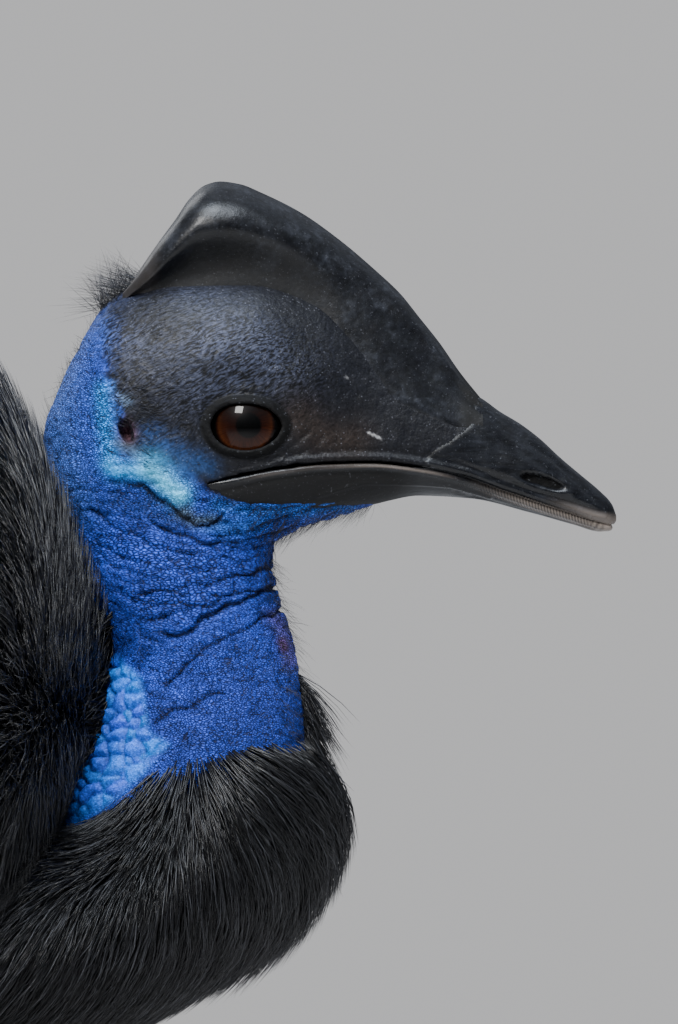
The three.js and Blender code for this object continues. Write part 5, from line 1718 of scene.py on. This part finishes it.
def feather_material(name, dark, light, roughness):
    m = Nodes(name)
    shade = m.attribute("shade")
    along = m.attribute("along")
    # A few strands, at random, take the pale bluish colour: partly their own tone, partly painted sheen.
    cube = m.math("MULTIPLY", m.math("MULTIPLY", shade, shade), shade)
    colour = m.mix(cube, (*dark, 1), (*light, 1))
    # Painted shade towards the strands' roots, a little lighter at the tips.
    root = m.ramp(along, [(0.0, 0.35), (0.35, 1), (1.0, (1.15, 1.15, 1.15))])
    colour = m.times(colour, root)
    bump = m.bump(m.noise(900, 3), 0.4, 0.0002)
    return m.finish(Base_Color=colour, Roughness=roughness, Normal=bump, Specular_IOR_Level=0.5)


def claw_material():
    m = Nodes("claw")
    grain = m.noise(120, 5, (0.3, 1, 1))
    colour = m.ramp(grain, [(0.3, (0.012, 0.011, 0.010)), (0.75, (0.06, 0.052, 0.045))])
    bump = m.bump(m.noise(500, 4, (0.15, 1, 1)), 0.3, 0.0003)
    return m.finish(Base_Color=colour, Roughness=0.42, Normal=bump)


FLOOR_GREY = (0.62, 0.61, 0.60, 1)


def floor_material():
    return Nodes("floor").finish(Base_Color=FLOOR_GREY, Roughness=0.9)


# Pieces


def eyeball_form(side):
    """A round eye in its place."""
    angles = turns(72)
    rings = []
    for turn in np.linspace(0.02, np.pi - 0.02, 60):
        ring = np.stack([
            np.sin(turn) * np.cos(angles), np.full(72, np.cos(turn)), np.sin(turn) * np.sin(angles)
        ], 1)
        rings.append(ring * EYEBALL_RADIUS + [0, side * EYE_OFFSET_Y, 0])
    return outward(loft(rings))


LEG_PARTS = ("thigh", "shank", "toe_middle", "toe_inner", "toe_outer")
legs_replaced = [f"{part}_{name}" for _, name, _ in SIDES for part in LEG_PARTS]
skin = make_piece(
    "skin", skin_form, ["head", "neck", "collar", "torso", *legs_replaced],
    colours={"paint": skin_colour}, numbers=skin_numbers,
)
skin.data.materials.append(skin_material())

none = np.zeros(len(casque_form[0]))
bill_horn = horn_material("bill_horn", (0.10, 1, 1), (0.20, 0.36), 0.5)
casque_x, _, casque_z = casque_form[0].T
# Painted shade: darker on the flank under the rim, and black at the front tip where it meets the head.
casque_hollow_shade = 0.55 * smoothstep(casque_rim_height(casque_x) - 2 - casque_z, 0, 7)
casque_hollow_shade *= smoothstep(36 - casque_x, 0, 26)
casque_hollow_shade = np.maximum(casque_hollow_shade, 0.9 * smoothstep(casque_x, 60, 65))
rear_edge = 0.08 * smoothstep(-23 - casque_x, 0, 5) * smoothstep(62 - casque_z, 0, 6)
casque = make_piece("casque_horn", casque_form, ["casque"],
                    numbers={"pale": rear_edge, "hollow_shade_and_dull": casque_hollow_shade, "rib_shade": none})
casque.data.materials.append(horn_material("casque_horn", (0.6, 0.6, 0.6), (0.26, 0.42), 1.0))
upper = make_piece("upper_bill", upper_form, ["bill_upper"],
                   numbers={"pale": upper_pale, "hollow_shade_and_dull": upper_hollow_shade, "rib_shade": 0 * upper_pale})
lower = make_piece("lower_bill", lower_form, ["bill_lower"],
                   numbers={"pale": lower_pale_and_highlight, "hollow_shade_and_dull": lower_dull, "rib_shade": lower_rib_shade})
for piece in (upper, lower):
    piece.data.materials.append(bill_horn)

eye_look = eye_material()
for side, name, _ in SIDES:
    ball = make_piece(f"eyeball_{name}", eyeball_form(side), [f"eye_{name}"])
    ball.data.materials.append(eye_look)

# Plumage and bristles: near black, with a pale bluish grey for the few light strands, partly painted sheen.
plumage = feather_material("plumage", (0.0025, 0.0025, 0.0035), (0.050, 0.052, 0.060), 0.38)
for coat in [*coats, throat_tuft]:
    coat.data.materials.append(plumage)
bristle_look = feather_material("bristle", (0.006, 0.006, 0.009), (0.045, 0.052, 0.072), 0.45)
bristle_coat.data.materials.append(bristle_look)

claw_look = claw_material()
for side, name, shift in SIDES:
    wing = make_piece(f"wing_feathers_{name}", wing_form(side), [f"wing_{name}"])
    wing.data.materials.append(claw_look)
    for toe in TOES:
        node = f"claw_{toe[0]}_{name}"
        claw = make_piece(f"horn_{node}", claw_form(side, shift, toe), [node])
        claw.data.materials.append(claw_look)

# Floor, light and camera

floor_mesh = bpy.data.meshes.new("floor")
FLOOR_REACH = 6.0
corners = [(FLOOR_REACH * x, FLOOR_REACH * y, 0) for x, y in ((-1, -1), (1, -1), (1, 1), (-1, 1))]
floor_mesh.from_pydata(corners, [], [(0, 1, 2, 3)])
floor = bpy.data.objects.new("floor", floor_mesh)
bpy.context.scene.collection.objects.link(floor)
floor.data.materials.append(floor_material())

# The studio: a pale backdrop, with light that falls from above and dims towards the floor.
BACKDROP_GREY = (0.56, 0.56, 0.57, 1)
DOME_STOPS = [(0.45, (0.035, 0.035, 0.04, 1)), (1.0, (0.48, 0.52, 0.60, 1))]
world = bpy.data.worlds.new("studio")
bpy.context.scene.world = world
world.use_nodes = True
tree = world.node_tree
backdrop = tree.nodes["Background"]
backdrop.inputs[0].default_value = BACKDROP_GREY
dome = tree.nodes.new("ShaderNodeBackground")
split = tree.nodes.new("ShaderNodeSeparateXYZ")
coordinate = tree.nodes.new("ShaderNodeTexCoord")
fade = tree.nodes.new("ShaderNodeValToRGB")
for element, (position, colour) in zip(fade.color_ramp.elements, DOME_STOPS):
    element.position = position
    element.color = colour
half = tree.nodes.new("ShaderNodeMath")
half.operation = "MULTIPLY_ADD"
half.inputs[1].default_value = 0.5
half.inputs[2].default_value = 0.5
seen = tree.nodes.new("ShaderNodeLightPath")
choose = tree.nodes.new("ShaderNodeMixShader")
for source, target in (
    (coordinate.outputs["Generated"], split.inputs[0]),
    (split.outputs[2], half.inputs[0]),
    (half.outputs[0], fade.inputs[0]),
    (fade.outputs[0], dome.inputs[0]),
    (seen.outputs["Is Camera Ray"], choose.inputs[0]),
    (dome.outputs[0], choose.inputs[1]),
    (backdrop.outputs[0], choose.inputs[2]),
    (choose.outputs[0], tree.nodes["World Output"].inputs[0]),
):
    tree.links.new(source, target)


def add_light(name, offset, size, power, colour):
    """A square soft light at an offset from the head, turned to it."""
    data = bpy.data.lights.new(name, "AREA")
    data.shape = "SQUARE"
    data.size = size
    data.energy = power
    data.color = colour
    lamp = bpy.data.objects.new(name, data)
    lamp.location = place([0, 0, 0]) + offset
    lamp.rotation_mode = "QUATERNION"
    lamp.rotation_quaternion = (-Vector(offset)).to_track_quat("-Z", "Y")
    bpy.context.scene.collection.objects.link(lamp)


add_light("key", (-0.60, -1.75, 1.62), 0.75, 76, (1.0, 0.985, 0.96))
add_light("overhead", (0.1, -0.75, 1.9), 1.0, 52, (0.82, 0.90, 1.0))
add_light("back", (-1.2, 1.8, 1.4), 1.4, 14, (0.95, 0.97, 1.0))

frame_height = PHOTO_HEIGHT / PIXELS_PER_MM
aim_x, aim_z = at_pixel((PHOTO_WIDTH / 2, PHOTO_HEIGHT / 2))[0]
camera_data = bpy.data.cameras.new("camera")
camera_data.sensor_width = SENSOR
camera_data.lens = SENSOR * CAMERA_DISTANCE / frame_height
camera_data.clip_start, camera_data.clip_end = 0.1, 100
camera = bpy.data.objects.new("camera", camera_data)
camera.location = place([aim_x, -CAMERA_DISTANCE, aim_z])
camera.rotation_euler = (np.pi / 2, 0, 0)
bpy.context.scene.collection.objects.link(camera)
bpy.context.scene.camera = camera
